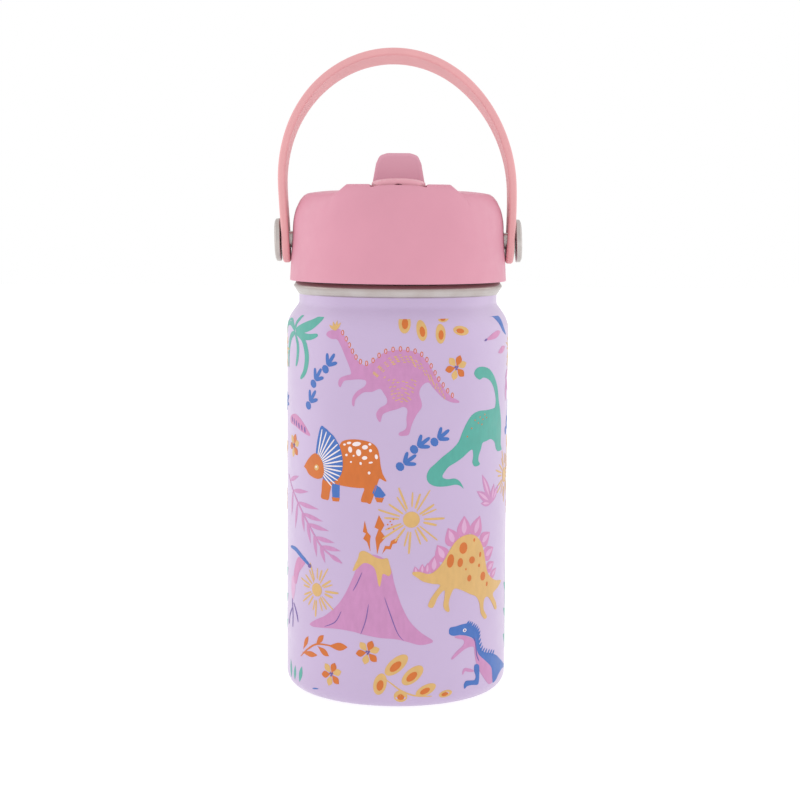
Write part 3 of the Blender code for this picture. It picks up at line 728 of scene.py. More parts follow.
def lid_cover():
    """The lid's top with the rounded edge of the channel, and the height of each of its points."""
    rim_round = 0.5
    lines = [STEP_HALF_TOP + k for k in (-0.8, -0.5, -0.25, 0.0, 0.25, 0.5, 1.0)]
    lines += [STEP_HALF_FOOT + k for k in (-0.6, -0.3, 0.0, 0.3, 0.6, 1.0, 1.8)]
    lines += list(np.arange(0.0, STEP_HALF_TOP - 1.0, 1.2)) + list(np.arange(21.5, LID_JOIN_R, 1.2))
    xs = sorted({*lines, *(-x for x in lines)})
    grid = np.array(grid_points(xs, np.arange(-33.0, 33.1, 0.75)))
    clear = ~inside(grid, channel_loop(rim_round + 0.4))
    grid = grid[(np.hypot(grid[:, 0], grid[:, 1]) < LID_JOIN_R - 0.5) & clear]
    around = []
    for part in (0.04, 0.15, 0.4, 1.0):
        around += channel_loop(rim_round * part)
    loops = [circle(LID_JOIN_R, SEGMENTS), channel_loop(0.0)]
    flat, faces = triangulated(loops, [tuple(p) for p in grid] + around)
    x, y = np.array(flat).T
    from_wall = np.hypot(*(np.maximum(0.0, a) for a in (
        np.abs(x) - CHANNEL_HALF, np.maximum(CHANNEL_Y[0] - y, y - CHANNEL_Y[1]))))
    inwards = np.maximum(0.0, rim_round - from_wall)
    drop = rim_round - np.sqrt(np.maximum(0.0, rim_round ** 2 - inwards ** 2))
    heights = lid_top(x, y) - np.where(from_wall < rim_round, drop, 0.0)
    return flat, faces, heights


def make_lid():
    flat, faces, heights = lid_cover()
    shape = Shape().add([(x, y, z) for (x, y), z in zip(flat, heights)], faces)

    # Channel walls, with a rounded foot, and its floor with the seat of the seal
    rim_at = {(round(x, 3), round(y, 3)): z for (x, y), z in zip(flat, heights)}
    foot = 0.8
    rows = [[(x, y, rim_at[(round(x, 3), round(y, 3))]) for x, y in channel_loop(0.0)]]
    for angle in (0, 30, 60, 90):
        bend = math.radians(angle)
        level = CHANNEL_FLOOR + foot * (1 - math.sin(bend))
        rows.append([(x, y, level) for x, y in channel_loop(-foot * (1 - math.cos(bend)))])
    shape.bands(rows, closed=False)
    seat_r = SEAL_HIGH.x + 0.3
    seat_z = SEAL_LOW.z - 0.3
    floor_loop = list(reversed(channel_loop(-foot)))
    floor_grid = grid_points(np.arange(-7.2, 7.3, 1.2), np.arange(-26.5, 3.5, 1.2))
    floor, faces = triangulated([floor_loop, circle(seat_r, HOLE_STEPS, -1)], floor_grid)
    shape.add([(x, y, CHANNEL_FLOOR) for x, y in floor], faces)
    seat_wall = [(seat_r, CHANNEL_FLOOR), (seat_r, seat_z, 0.3), (PASSAGE_R, seat_z, 0.3)]
    seat_wall = filleted([*seat_wall, (PASSAGE_R, TUB_Z)], closed=False)
    shape.join(turned(seat_wall, HOLE_STEPS, closed=False))

    # Side wall, lower edge and inside
    centre = (LID_SHOULDER[0] - LID_ROUND[0], LID_SHOULDER[1])
    start = math.degrees(math.acos((LID_JOIN_R - centre[0]) / LID_ROUND[0]))
    side = arc(centre, LID_ROUND, start, 0, 16)
    side[0] = (LID_JOIN_R, float(lid_top(0.0, LID_JOIN_R)))
    inner_r = LID_R - LID_WALL
    edge = [side[-1], (LID_R, LID_Z, 0.15), (inner_r, LID_Z, 0.4), (inner_r - 0.9, TUB_Z - 3.0)]
    side += filleted(edge, closed=False, steps=6)[1:] + [(TUB_R, TUB_Z)]
    shape.join(turned(side, closed=False))
    outer = [(x * TUB_R / LID_JOIN_R, y * TUB_R / LID_JOIN_R) for x, y in circle(LID_JOIN_R, SEGMENTS)]
    under, faces = triangulated([outer, circle(PASSAGE_R, HOLE_STEPS, -1)], [])
    shape.add([(x, y, TUB_Z) for x, y in under], faces)
    piece("lid", shape, "lid", PINK, ["lid_shell"], sharp=32.0)


def tube(inner_r, low, high, rounds):
    """A ring or a tube with rounded rims, from its CAD corners. rounds are those of low and high."""
    return filleted([
        (high.x, low.z, rounds[0]), (high.x, high.z, rounds[1]),
        (inner_r, high.z, rounds[1]), (inner_r, low.z, rounds[0])])


def make_plug():
    flange_r, flange_high = PLUG_HIGH.x, PLUG_HIGH.z
    flange_low = 137.3
    plug_r = 27.25
    wall = 2.5
    low = PLUG_LOW.z
    bore = SOCKET_HIGH.x + 0.1
    plug = turned(filleted([
        (flange_r, flange_high, 0.4), (flange_r, flange_low, 0.5), (plug_r, flange_low, 1.0),
        (plug_r, low, 1.6), (bore, low, 0.3), (bore, low + wall), (plug_r - wall, low + wall, 1.2),
        (plug_r - wall, flange_high, 0.4)]))
    piece("plug", plug.join(thread(plug_r, 1)), "lid", WHITE, ["lid_plug"])


def make_lid_inside():
    ring = turned(tube(30.7, GASKET_LOW, GASKET_HIGH, (0.3, 0.3)))
    piece("gasket", ring, "gasket", SILICONE, ["lid_gasket"])

    socket_r = SOCKET_HIGH.x
    socket_low = SOCKET_LOW.z
    straw_hole = STRAW_HIGH.x + 0.3
    stop_z = 132.0
    lip_r = socket_r - 0.8
    socket = [(socket_r, SOCKET_HIGH.z), (PASSAGE_R, SOCKET_HIGH.z), (PASSAGE_R, stop_z)]
    socket += [(straw_hole, stop_z), (straw_hole, socket_low, 0.3), (lip_r, socket_low, 0.4)]
    socket += [(lip_r, socket_low + 2.2, 0.3), (socket_r, socket_low + 2.8, 0.3)]
    piece("socket", turned(filleted(socket), 96), "lid", SILICONE, ["straw_socket"])

    valve_r = VALVE_HIGH.x
    valve_y = (VALVE_LOW.y + VALVE_HIGH.y) / 2
    stem_r = 1.7
    cap = PLUG_LOW.z
    valve = [(0.0, VALVE_HIGH.z), (stem_r, VALVE_HIGH.z, 0.3), (stem_r, cap)]
    valve += [(valve_r, cap, 0.2), (valve_r - 0.2, cap - 0.7, 0.4), (2.6, VALVE_LOW.z, 0.5)]
    valve += [(2.2, VALVE_LOW.z + 0.5, 0.2), (0.0, VALVE_LOW.z + 0.5)]
    button = turned(filleted(valve), HOLE_STEPS, centre=(0.0, valve_y))
    piece("valve", button, "lid", SILICONE, ["vent_valve"])

    seal = turned(tube(3.3, SEAL_LOW, SEAL_HIGH, (0.2, 0.6)), HOLE_STEPS)
    piece("seal", seal, "lid", SILICONE, ["spout_seal"])


def make_straw():
    """The straw, whose lower end is cut at a slant so that it can't seal itself on the floor."""
    straw = turned(tube(3.1, STRAW_LOW, STRAW_HIGH, (0.3, 0.3)), HOLE_STEPS)
    radius = STRAW_HIGH.x
    slant = 3.5
    straw.points = [(x, y, z + (slant * (x + radius) / (2 * radius) if z < STRAW_LOW.z + 1.0 else 0.0))
                    for x, y, z in straw.points]
    piece("straw_tube", straw, "straw", STRAW, ["straw"])


# ---------------------------------------------------------------- spout

def spout_section(scale_x=1.0, scale_z=1.0, shrink=0.0):
    """Cross-section of the spout round its own axis, as (x, z) points."""
    half = SPOUT_HALF * scale_x - shrink
    foot_half = SPOUT_FOOT_HALF * scale_x - shrink
    top = BARREL_R - SPOUT_CROWN
    corners = [(-foot_half, -BARREL_R + shrink, 1.0), (foot_half, -BARREL_R + shrink, 1.0)]
    corners += [(half, -BARREL_R + 2.0, 1.0), (half, top, 0.7)]
    crown = arc((0.0, top - shrink), (half, SPOUT_CROWN), 90, 12, 10)
    corners += list(reversed(crown)) + [(-x, z) for x, z in crown[1:]]
    corners += [(-half, top, 0.7), (-half, -BARREL_R + 2.0, 1.0)]
    return [(x, z * scale_z) for x, z in filleted(corners, steps=4)]


def make_nozzle():
    """The hard part of the spout, rounded off at its hinge, with the lever that stands on it."""
    split = MOUTH_HIGH.y
    edge = 0.35
    outline = spout_section()
    rows = [[(x, split, PIVOT_Z + z) for x, z in spout_section(shrink=edge)]]
    rows += [[(x, split + edge, PIVOT_Z + z) for x, z in outline]]
    rows += [[(x, split + (0 - split) * k / 8, PIVOT_Z + z) for x, z in outline] for k in range(1, 8)]
    for angle in np.linspace(0, 86, 12):
        bend = math.radians(angle)
        y, share = BARREL_R * math.sin(bend), math.cos(bend)
        rows.append([(x, y, PIVOT_Z + z * share) for x, z in outline])
    nozzle = lofted(rows)

    top = SPOUT_HIGH.z
    foot = PIVOT_Z + BARREL_R - SPOUT_CROWN - 1.2
    side = [(SPOUT_HALF - 0.3, foot), (SPOUT_HALF - 0.15, foot + 1.6, 0.6)]
    side += [(LEVER_TOP_HALF + 0.25, top - LEVER_ROUND, 2.0)]
    side += [(LEVER_TOP_HALF - 0.9, top - 0.8, 2.2), (LEVER_TOP_HALF - LEVER_ROUND, top, 3.0)]
    lever = dense(filleted(side + [(-c[0], *c[1:]) for c in reversed(side)]), 0.5)
    middle = (LEVER_Y[0] + LEVER_Y[1]) / 2
    nozzle.join(slab(lever, LEVER_Y[1] - LEVER_Y[0], edge=1.1, spacing=1.0,
                     to_space=lambda u, v, h: (u, middle + h, v), steps=6))
    piece("nozzle", nozzle, "spout", SPOUT_PINK_LIT, ["spout"], sharp=30.0)


def make_mouth():
    """Soft mouthpiece, narrower towards its tip, with the drinking hole in the end."""
    tip = MOUTH_LOW.y
    start = MOUTH_HIGH.y + 0.3
    length = start - tip
    narrower, flatter = 0.16, 0.12
    tip_round = 1.2
    straight = 0.75                 # share of the rows before the rounding of the tip
    rows = []
    for k in range(12):
        share = k / 11
        bend = math.radians(90 * max(0.0, (share - straight) / (1 - straight)))
        taper = min(1.0, share / straight)
        y = start - (length - tip_round) * taper - tip_round * math.sin(bend)
        shrink = tip_round * (1 - math.cos(bend))
        scale_x, scale_z = 1 - shrink / SPOUT_HALF, 1 - shrink / BARREL_R
        section = spout_section(1 - narrower * taper, 1 - flatter * taper)
        rows.append([(x * scale_x, y, PIVOT_Z + z * scale_z) for x, z in section])
    angles = [math.atan2(z - PIVOT_Z, x) for x, _, z in rows[-1]]
    hole_r = PASSAGE_R * 0.72
    for radius, y in ((hole_r + 0.25, tip), (hole_r, tip + 0.3), (hole_r, tip + 6.0)):
        rows.append([(radius * math.cos(a), y, PIVOT_Z + radius * math.sin(a)) for a in angles])
    piece("mouth", lofted(rows), "spout", MOUTH_PINK, ["mouthpiece"], sharp=40.0)


# ---------------------------------------------------------------- handle and pins

def strap_path():
    """Middle line of the strap from the right eye over the top to the left, as x and height."""
    rise = arc((0.0, STRAP_ARCH_H), (STRAP_HALF_W, STRAP_RISE), 0, 90, 120)
    foot = bezier(((STRAP_EYE_X - 0.25, -EYE_R), (STRAP_EYE_X, 0.0), (STRAP_HALF_W, STRAP_ARCH_H * 0.6),
                   (STRAP_HALF_W, STRAP_ARCH_H)), 24)
    right = foot[:-1] + rise
    path = np.array(right + [(-x, z) for x, z in reversed(right[:-1])])
    path[:, 0] -= STRAP_SWAY * eased(np.clip(path[:, 1] / SWAY_H, 0.0, 1.0))
    return path


def make_handle():
    path = strap_path()
    lengths = np.concatenate([[0.0], np.cumsum(np.hypot(*np.diff(path, axis=0).T))])
    total = lengths[-1]
    tangent = np.gradient(path, lengths, axis=0)
    tangent /= np.linalg.norm(tangent, axis=1)[:, None]
    lean = Matrix.Translation((0, 0, PIN_Z)) @ Matrix.Rotation(STRAP_LEAN, 4, "X")

    def on_path(u, v, height):
        x, z, dx, dz = (np.interp(u, lengths, column) for column in (*path.T, *tangent.T))
        return lean @ Vector((x + dz * height, v, z - dx * height))

    def half_depth(s):
        share = min(1.0, max(0.0, (min(s, total - s) - GRIP_START) / GRIP_RUN))
        return STRAP_HALF_D + (GRIP_HALF_D - STRAP_HALF_D) * eased(share)

    shoulder = math.degrees(math.acos(STRAP_HALF_D / EYE_R))
    start = arc((EYE_R, 0.0), (EYE_R, EYE_R), 90 + shoulder, 270 - shoulder, 24)
    stations = np.linspace(EYE_R + 1.0, total - EYE_R - 1.0, 150)
    outline = start + [(s, -half_depth(s)) for s in stations]
    outline += [(total - u, -v) for u, v in start]
    outline += [(s, half_depth(s)) for s in reversed(stations)]
    holes = []
    for centre in (EYE_R, total - EYE_R):
        holes.append(list(reversed(arc((centre, 0.0), (EYE_HOLE_R, EYE_HOLE_R), 0, 352.5, 47))))
    strap = slab(dense(outline, 1.3), STRAP_T, edge=0.85, spacing=1.1, to_space=on_path,
                 holes=holes, steps=10, columns=stations)
    piece("strap", strap, "handle", STRAP_PINK, ["handle"], sharp=50.0)


def make_pins():
    head_r = PIN_HIGH.y
    top = PIN_HIGH.x
    low = PIN_LOW.x
    neck_x = low + PIN_FOOT_T
    pin = turned(filleted([
        (0.0, top), (head_r - 1.0, top, 0.5), (head_r - 0.12, top - 0.45, 0.4),
        (head_r, PIN_HEAD_X, 0.35), (PIN_NECK_R, PIN_HEAD_X, 0.2), (PIN_NECK_R, neck_x),
        (PIN_FOOT_R, neck_x, 0.2), (PIN_FOOT_R, low, 0.2), (0.0, low)]), 128, closed=False)
    for sign, side in ((-1, "left"), (1, "right")):
        head = Matrix.Translation((sign * PIN_HEAD_X, 0, PIN_Z)) @ Matrix.Rotation(-PIN_TILT, 4, "Y")
        back = Matrix.Translation((-sign * PIN_HEAD_X, 0, 0))
        turn = head @ back @ Matrix.Rotation(sign * math.pi / 2, 4, "Y")
        piece("pin_" + side, pin, "lid", PIN_STEEL, ["handle_pin_" + side], turn=turn)


def dress_hidden_parts():
    """Small parts that stay as CAD made them get the finish of their material."""
    looks = {"getter": LINER_STEEL, "insulation_ring": FOAM, "pin_washer_left": PIN_STEEL,
             "pin_washer_right": PIN_STEEL, "spout_pin_left": PIN_STEEL, "spout_pin_right": PIN_STEEL}
    for node, material in looks.items():
        mesh = frame["nodes"][node].data
        mesh.materials.clear()
        mesh.materials.append(material)


# ---------------------------------------------------------------- printed wall

PRINT_TOP = 124.6
PRINT_LOW = 2.4
PRINT_LIFT = 0.05
LAYER_STEP = 0.03
PRINT_EDGE = 1.4                    # longest edge along an outline
PRINT_GRID = 1.5                    # spacing of the points within it, so that it follows the wall
REPEAT = math.pi * BODY_R           # the print comes twice round the wall
COAT_GLARE = 0.03                   # light that the clear skin of the ink adds to its colour
FLECK = (0.5, 0.14)
SCATTER = (0.7549, 0.5698)          # their multiples fill a square evenly, without lines


def srgb(red, green, blue):
    """Linear colour of an ink that looks like these screen values."""
    linear = [((c / 255 + 0.055) / 1.055) ** 2.4 for c in (red, green, blue)]
    return tuple(max(0.0, c - COAT_GLARE) for c in linear)


def ink(name, colour):
    """Printed ink: satin, a little streaky as from a dry brush."""
    look = Look("ink_" + name, 0.4)
    streaks = look.nodes.new("ShaderNodeMapping")
    streaks.inputs["Scale"].default_value = (1.0, 1.0, 0.45)
    streaks.inputs["Rotation"].default_value = (0.5, 0.3, 0.0)
    look.links.new(look.place, streaks.inputs["Vector"])
    factor = look.ranged(look.noise(620.0, detail=5.0, vector=streaks.outputs["Vector"]), 0.0, 1.0)
    dark = tuple(c * 0.95 for c in colour)
    light = tuple(min(1.0, c * 1.045) for c in colour)
    look.links.new(look.mixed(factor, dark, light), look.shader.inputs["Base Color"])
    look.roughened(0.34, 0.48, scale=260.0)
    look.bump(look.noise(900.0, detail=2.0), depth_mm=0.01, strength=0.4)
    return look.material


INKS = {
    "pink": ink("pink", srgb(198, 140, 184)),
    "rose": ink("rose", srgb(203, 138, 180)),
    "blush": ink("blush", srgb(214, 168, 202)),
    "teal": ink("teal", srgb(90, 168, 156)),
    "orange": ink("orange", srgb(206, 115, 60)),
    "gold": ink("gold", srgb(214, 174, 114)),
    "blue": ink("blue", srgb(76, 114, 184)),
    "violet": ink("violet", srgb(116, 96, 160)),
    "cream": ink("cream", srgb(238, 226, 228)),
}
WALL = np.array(wall_profile())
WALL_SLOPE = np.gradient(WALL, axis=0)
PRINTED = {}


def on_wall(u, v, lift):
    """The point of the wall at u and v, raised by lift."""
    r, dr, dz = (np.interp(v, WALL[:, 1], column) for column in (WALL[:, 0], *WALL_SLOPE.T))
    steep = math.hypot(dr, dz)
    r += lift * dz / steep
    z = v - lift * dr / steep
    angle = u / BODY_R
    return (r * math.sin(angle), -r * math.cos(angle), z)


def stamp(colour, loop, layer=0):
    """Print one closed outline, twice round the wall."""
    loop = [(u, min(max(v, PRINT_LOW), PRINT_TOP)) for u, v in loop]
    loop = dense([p for i, p in enumerate(loop) if math.dist(p, loop[i - 1]) > 0.01], PRINT_EDGE)
    low, high = np.min(loop, axis=0), np.max(loop, axis=0)
    grid = grid_points(*(np.arange(low[k] + 0.7, high[k], PRINT_GRID) for k in (0, 1)))
    flat, faces = triangulated([loop], grid)
    shape = PRINTED.setdefault((colour, layer), Shape())
    heights = (PRINT_LIFT + LAYER_STEP * layer, -PRINT_LIFT)
    for shift in (0.0, REPEAT):
        for height in heights:
            shape.add([on_wall(u + shift, v, height) for u, v in flat], faces)
        rows = [[on_wall(u + shift, v, height) for u, v in loop] for height in heights]
        shape.bands(rows, closed=False)


def blob(colour, points, layer=0):
    """Print a rounded patch through given points."""
    stamp(colour, smooth_loop(points, 0.7), layer)


def oval(colour, centre, radii, tilt=0.0, layer=0):
    """Print an ellipse, tilted by that many degrees."""
    turn = math.radians(tilt)
    count = max(10, math.ceil(6 * max(radii)))
    loop = []
    for i in range(count):
        a, b = radii[0] * math.cos(TAU * i / count), radii[1] * math.sin(TAU * i / count)
        loop.append((centre[0] + a * math.cos(turn) - b * math.sin(turn),
                     centre[1] + a * math.sin(turn) + b * math.cos(turn)))
    stamp(colour, loop, layer)


def leaf(colour, base, tip, width, layer=0, fullest=0.5, vein=None):
    """A pointed leaf. fullest is how far along it is widest, and vein the colour of its middle."""
    along = Vector(tip) - Vector(base)
    across = Vector((-along.y, along.x)).normalized() * width / 2
    shares = [i / 9 for i in range(10)]
    spread = [math.sin(math.pi * s ** (math.log(0.5) / math.log(fullest))) for s in shares]
    middle = [Vector(base) + along * s for s in shares]
    loop = [tuple(m + across * w) for m, w in zip(middle, spread)]
    loop += [tuple(m - across * w) for m, w in reversed(list(zip(middle, spread))[1:-1])]
    stamp(colour, loop, layer)
    if vein:
        leaf(vein, middle[2], middle[8], width * 0.36, layer + 1, fullest)


def stroke(colour, points, width, layer=0, ends=0.15):
    """A line through points that narrows to a share of its width at both ends."""
    path = [points[0], *points, points[-1]]
    line = []
    for i in range(len(points) - 1):
        line += spline_span(path[i:i + 4], 0.8)
    line = np.array([*line, points[-1]])
    along = np.gradient(line, axis=0)
    along /= np.linalg.norm(along, axis=1)[:, None]
    share = np.linspace(0, 1, len(line))
    half = width / 2 * (ends + (1 - ends) * np.sin(math.pi * share) ** 0.5)
    across = np.stack([-along[:, 1], along[:, 0]], axis=1) * half[:, None]
    loop = [tuple(p) for p in line + across] + [tuple(p) for p in (line - across)[::-1]]
    stamp(colour, loop, layer)


def dots(colour, places, radius, layer=1):
    for place in places:
        oval(colour, place, (radius, radius * 0.8), 40, layer)


def polar(centre, radius, angle):
    turn = math.radians(angle)
    return (centre[0] + radius * math.cos(turn), centre[1] + radius * math.sin(turn))


def sun(centre, core, reach):
    rays = 20
    width = 0.62
    oval("gold", centre, (core, core * 0.96), layer=1)
    for i in range(rays):
        angle = 360 * i / rays + 4 * math.sin(2.4 * i)
        length = reach * (0.86 + 0.14 * math.cos(2.1 * i))
        start = polar(centre, core + 0.8 + 0.5 * math.cos(1.3 * i), angle)
        thickness = width * (1 + 0.2 * math.cos(3.3 * i))
        stroke("gold", [start, polar(centre, length, angle)], thickness, ends=0.55)


def flower(centre):
    for colour, layer, angles in (("orange", 1, (70, 190, 315)), ("gold", 0, (130, 20, 255))):
        for angle in angles:
            leaf(colour, polar(centre, 0.3, angle), polar(centre, 4.1, angle), 2.3, layer, 0.6)
    dots("violet", [polar(centre, 0.45, angle) for angle in (30, 150, 270)], 0.4, 2)


def seed_leaf(centre, radii, tilt):
    """A yellow leaf with an orange heart."""
    oval("gold", centre, radii, tilt)
    heart = polar(centre, 0.12 * max(radii), tilt + 200)
    oval("orange", heart, (radii[0] * 0.5, radii[1] * 0.52), tilt, 1)


def footprint(centre, size, heading):
    """Three long toes and a round heel, for a track across the wall."""
    oval("blue", polar(centre, -size * 0.3, heading), (size * 0.26, size * 0.3), heading)
    for turn, reach in ((-38, 0.78), (0, 0.95), (38, 0.78)):
        root = polar(centre, size * 0.02, heading + turn)
        tip = polar(centre, size * reach, heading + turn)
        stroke("blue", [root, tip], size * 0.25, 1, 0.4)


def print_long_neck():
    """Rose-coloured dinosaur that walks upright, with a row of scales along its back."""
    blob("pink", [
        (-24.3, 119.2), (-23.5, 120.3), (-21.5, 120.8), (-19.5, 121.2), (-18, 120), (-16.5, 117.5),
        (-14.5, 114), (-12.5, 111.2), (-10, 110), (-7.5, 111.5), (-4.5, 114), (-1, 115), (3, 115),
        (7, 113.8), (10, 110.5), (12, 107), (14.5, 103.5), (17.5, 100.3), (20.5, 98.6), (20.4, 98),
        (17.5, 98.4), (14.5, 100), (11.8, 102.7), (9.8, 104.8), (7.8, 103.8), (6.9, 101.5), (7.7, 98.5),
        (7.6, 96.8), (6, 94.5), (4.6, 91.5), (3.9, 89), (3.2, 88.2), (0.8, 88.1), (0.6, 89), (2.2, 89.8),
        (3, 91), (2.9, 93.5), (3.2, 96.2), (2, 97.2), (0, 96.5), (-3, 95.6), (-4.6, 94.6), (-5.3, 92.3),
        (-6.2, 93.2), (-6.6, 95), (-5.4, 96.8), (-3.5, 98), (-3.2, 99.5), (-4.3, 101.5), (-5.5, 102.8),
        (-8, 101.8), (-10.5, 101.6), (-12.2, 100.5), (-13.5, 99), (-13.9, 97), (-14.6, 97.6),
        (-14.4, 99.8), (-12.9, 101.8), (-10.3, 103.6), (-10, 105.2), (-12, 105.6), (-15, 105.3),
        (-17.5, 104.8), (-18.8, 102.8), (-19.6, 103.8), (-19, 105.6), (-16.8, 106.6), (-15, 107.2),
        (-15.6, 109.5), (-17, 112.5), (-18.5, 115.6), (-20, 117.8), (-21.8, 117.9), (-23.2, 118.3)])
    for tip in ((-23.4, 122.3), (-22.2, 123.4), (-20.6, 123.8), (-19.1, 123.2)):
        leaf("gold", (-20.6, 120.6), tip, 0.9, 1)
    back = [
        (-18, 120.1), (-16.7, 118.2), (-15.6, 116.3), (-14.5, 114.4), (-13.3, 112.6), (-11.8, 111.2),
        (-9.8, 110.7), (-7.7, 111.7), (-5.8, 113.3), (-3.7, 114.6), (-1.4, 115.2), (0.9, 115.4),
        (3.2, 115.2), (5.5, 114.7), (7.6, 113.7), (9.3, 112), (10.7, 110), (12, 107.8), (13.3, 105.8),
        (14.8, 103.9), (16.4, 102), (18.1, 100.5)]
    for place in back:
        oval("orange", place, (0.54, 0.88))
        oval("blush", place, (0.28, 0.6), 0, 1)

    # Flecks along the back and on the hip
    for i in range(70):
        along = (i * SCATTER[0]) % 1.0
        across = (i * SCATTER[1]) % 1.0
        u = -7.5 + 23 * along
        spine = 115.1 - 0.078 * (u - 1.2) ** 2 if u < 11 else 107.6 - 1.15 * (u - 11)
        depth = 1.3 + 3.4 * across * (1 - 0.5 * along)
        oval("gold", (u, spine - depth), FLECK, -7 * (u - 1.2), 1)
    for i in range(36):
        row = (i * SCATTER[0]) % 1.0
        across = 2 * ((i * SCATTER[1]) % 1.0) - 1
        u = 1.2 + (5.2 - 2.6 * row) * across
        oval("gold", (u, 105.4 - 7.4 * row + 0.2 * abs(u - 1.2)), FLECK, -40 * across, 1)


def print_grazer():
    """Teal dinosaur with a long curled tail."""
    blob("teal", [
        (26.7, 106.9), (27.3, 108.2), (29, 108.9), (31.5, 108.8), (34.5, 107.8), (37.5, 105.2),
        (39.8, 101.5), (41, 97), (42.2, 94), (43, 91), (43.3, 88), (43.2, 85), (43.2, 82.5), (44.2, 81),
        (42.5, 80.6), (40.3, 80.8), (39, 82), (38, 84), (35.5, 85.2), (33, 84.8), (31, 84.4),
        (30.2, 82.5), (29.2, 80.5), (29, 78.8), (29.8, 77.8), (29, 77.2), (27.2, 77.2), (26.3, 78.5),
        (26.6, 80.5), (26.2, 82.6), (24.5, 82), (22, 80.3), (19.5, 79), (17, 77.8), (15.6, 76.3),
        (14.8, 75), (15.3, 74.2), (17, 73.8), (19.2, 73.9), (21.2, 72.8), (22.7, 70.4), (21.5, 71.3),
        (19.6, 71.9), (16, 71.6), (12.5, 71.8), (10.2, 73), (9.5, 75), (10.3, 77.2), (12.3, 79),
        (15, 81.2), (18, 83.2), (20.5, 85.5), (22, 88.5), (23.8, 91.5), (26, 93.8), (29, 94.8),
        (33, 94.8), (37, 95), (38.3, 95.5), (38.6, 98), (37.5, 101), (35.5, 103.6), (33, 105),
        (31, 105.4), (29.8, 105), (29, 104.9), (27.6, 105.7)])
    dots("orange", [(25.8, 89.5), (28.8, 91), (29.6, 92.8), (31, 92), (32, 93.5), (30.5, 90.4), (33, 92.4),
                    (27.3, 92), (24, 87)], 0.28)


def print_horned():
    """Orange horned dinosaur with a striped blue frill and pale spots."""
    stamp("blue", [(-21.8, 72.4), (-21.9, 69.5), (-21.7, 67.4), (-19, 67.4), (-18.9, 72.2)])
    stamp("blue", [(-6.6, 72.4), (-5.2, 71.5), (-3.4, 69.2), (-4.6, 68.2), (-6.6, 68.3), (-7.8, 69.6)])
    stamp("orange", [(-22, 67.5), (-21.6, 66.2), (-19.2, 66.3), (-18.9, 67.5)])
    stamp("orange", [(-7, 68.4), (-6.3, 66.9), (-4.6, 66.8), (-4, 68.4)])
    blob("orange", [
        (-18.9, 84.6), (-17.5, 85.9), (-14.5, 86.5), (-11, 86.4), (-8, 85.6), (-6.2, 84), (-5.5, 81.5),
        (-5.1, 78.5), (-4.4, 75.8), (-3.2, 73.6), (-4.2, 73.8), (-5.4, 74.4), (-6, 73), (-6.8, 70.5),
        (-7.6, 68), (-8.4, 66.2), (-9.6, 66.6), (-11.4, 66.8), (-11.2, 68.5), (-10.4, 71), (-12, 71.1),
        (-15, 71.2), (-18.5, 71.5), (-21.5, 71.8), (-22.6, 69.4), (-23.2, 66.6), (-24.4, 66.4),
        (-26.4, 66.8), (-26.2, 69), (-25.8, 72.6), (-24, 76), (-21, 80)])
    fan = (-28.6, 77)
    edge = [polar(fan, reach, 82 - 9.2 * i) for i, reach in enumerate(
        (12.4, 13, 12.6, 12.5, 12.1, 11.9, 11.5, 11.2, 10.9, 10.7, 10.4, 9.8, 8.9, 7.6, 6.2))]
    blob("blue", [(-28.8, 80), *edge, (-26, 74)], 1)
    for i in range(14):
        angle = 77.4 - 9.2 * i
        reach = 12.2 - 3.2 * (i / 13) ** 1.6
        stroke("cream", [polar(fan, 3.2, angle), polar(fan, reach, angle)], 0.46, 2, 0.5)
    blob("orange", [
        (-34.6, 76.4), (-33.6, 77.6), (-32.2, 79), (-30.4, 80.4), (-28.6, 80.9), (-26.8, 79.9),
        (-25.6, 78), (-25.1, 75.5), (-25.8, 73.6), (-27.6, 72.8), (-30, 73), (-32.4, 73.9), (-33.6, 75.2),
        (-34.9, 75.9)], 3)
    oval("gold", (-28.4, 76.4), (1.05, 0.95), 20, 4)
    oval("cream", (-28.5, 76.6), (0.4, 0.34), 20, 5)
    spots = [
        (-15.6, 85.3, 0.8, 0.4), (-17.2, 84.7, 0.5, 0.35), (-13, 85.1, 1.5, 0.7), (-10.2, 84.2, 1, 0.7),
        (-15.2, 83.2, 0.7, 1), (-12.3, 82.4, 0.85, 1.1), (-8.6, 85.2, 0.5, 0.4), (-8.4, 83.2, 0.5, 0.5),
        (-10.3, 80.8, 0.9, 0.6), (-6.5, 81.3, 0.5, 0.8), (-16.5, 81.4, 0.45, 0.4), (-14, 81.3, 0.35, 0.3),
        (-14.9, 79.3, 0.35, 0.3), (-11.6, 79, 0.4, 0.5), (-8.3, 79.4, 0.7, 0.3), (-8.8, 76.1, 0.45, 0.5)]
    for u, v, a, b in spots:
        oval("cream", (u, v), (a, b), 10, 1)


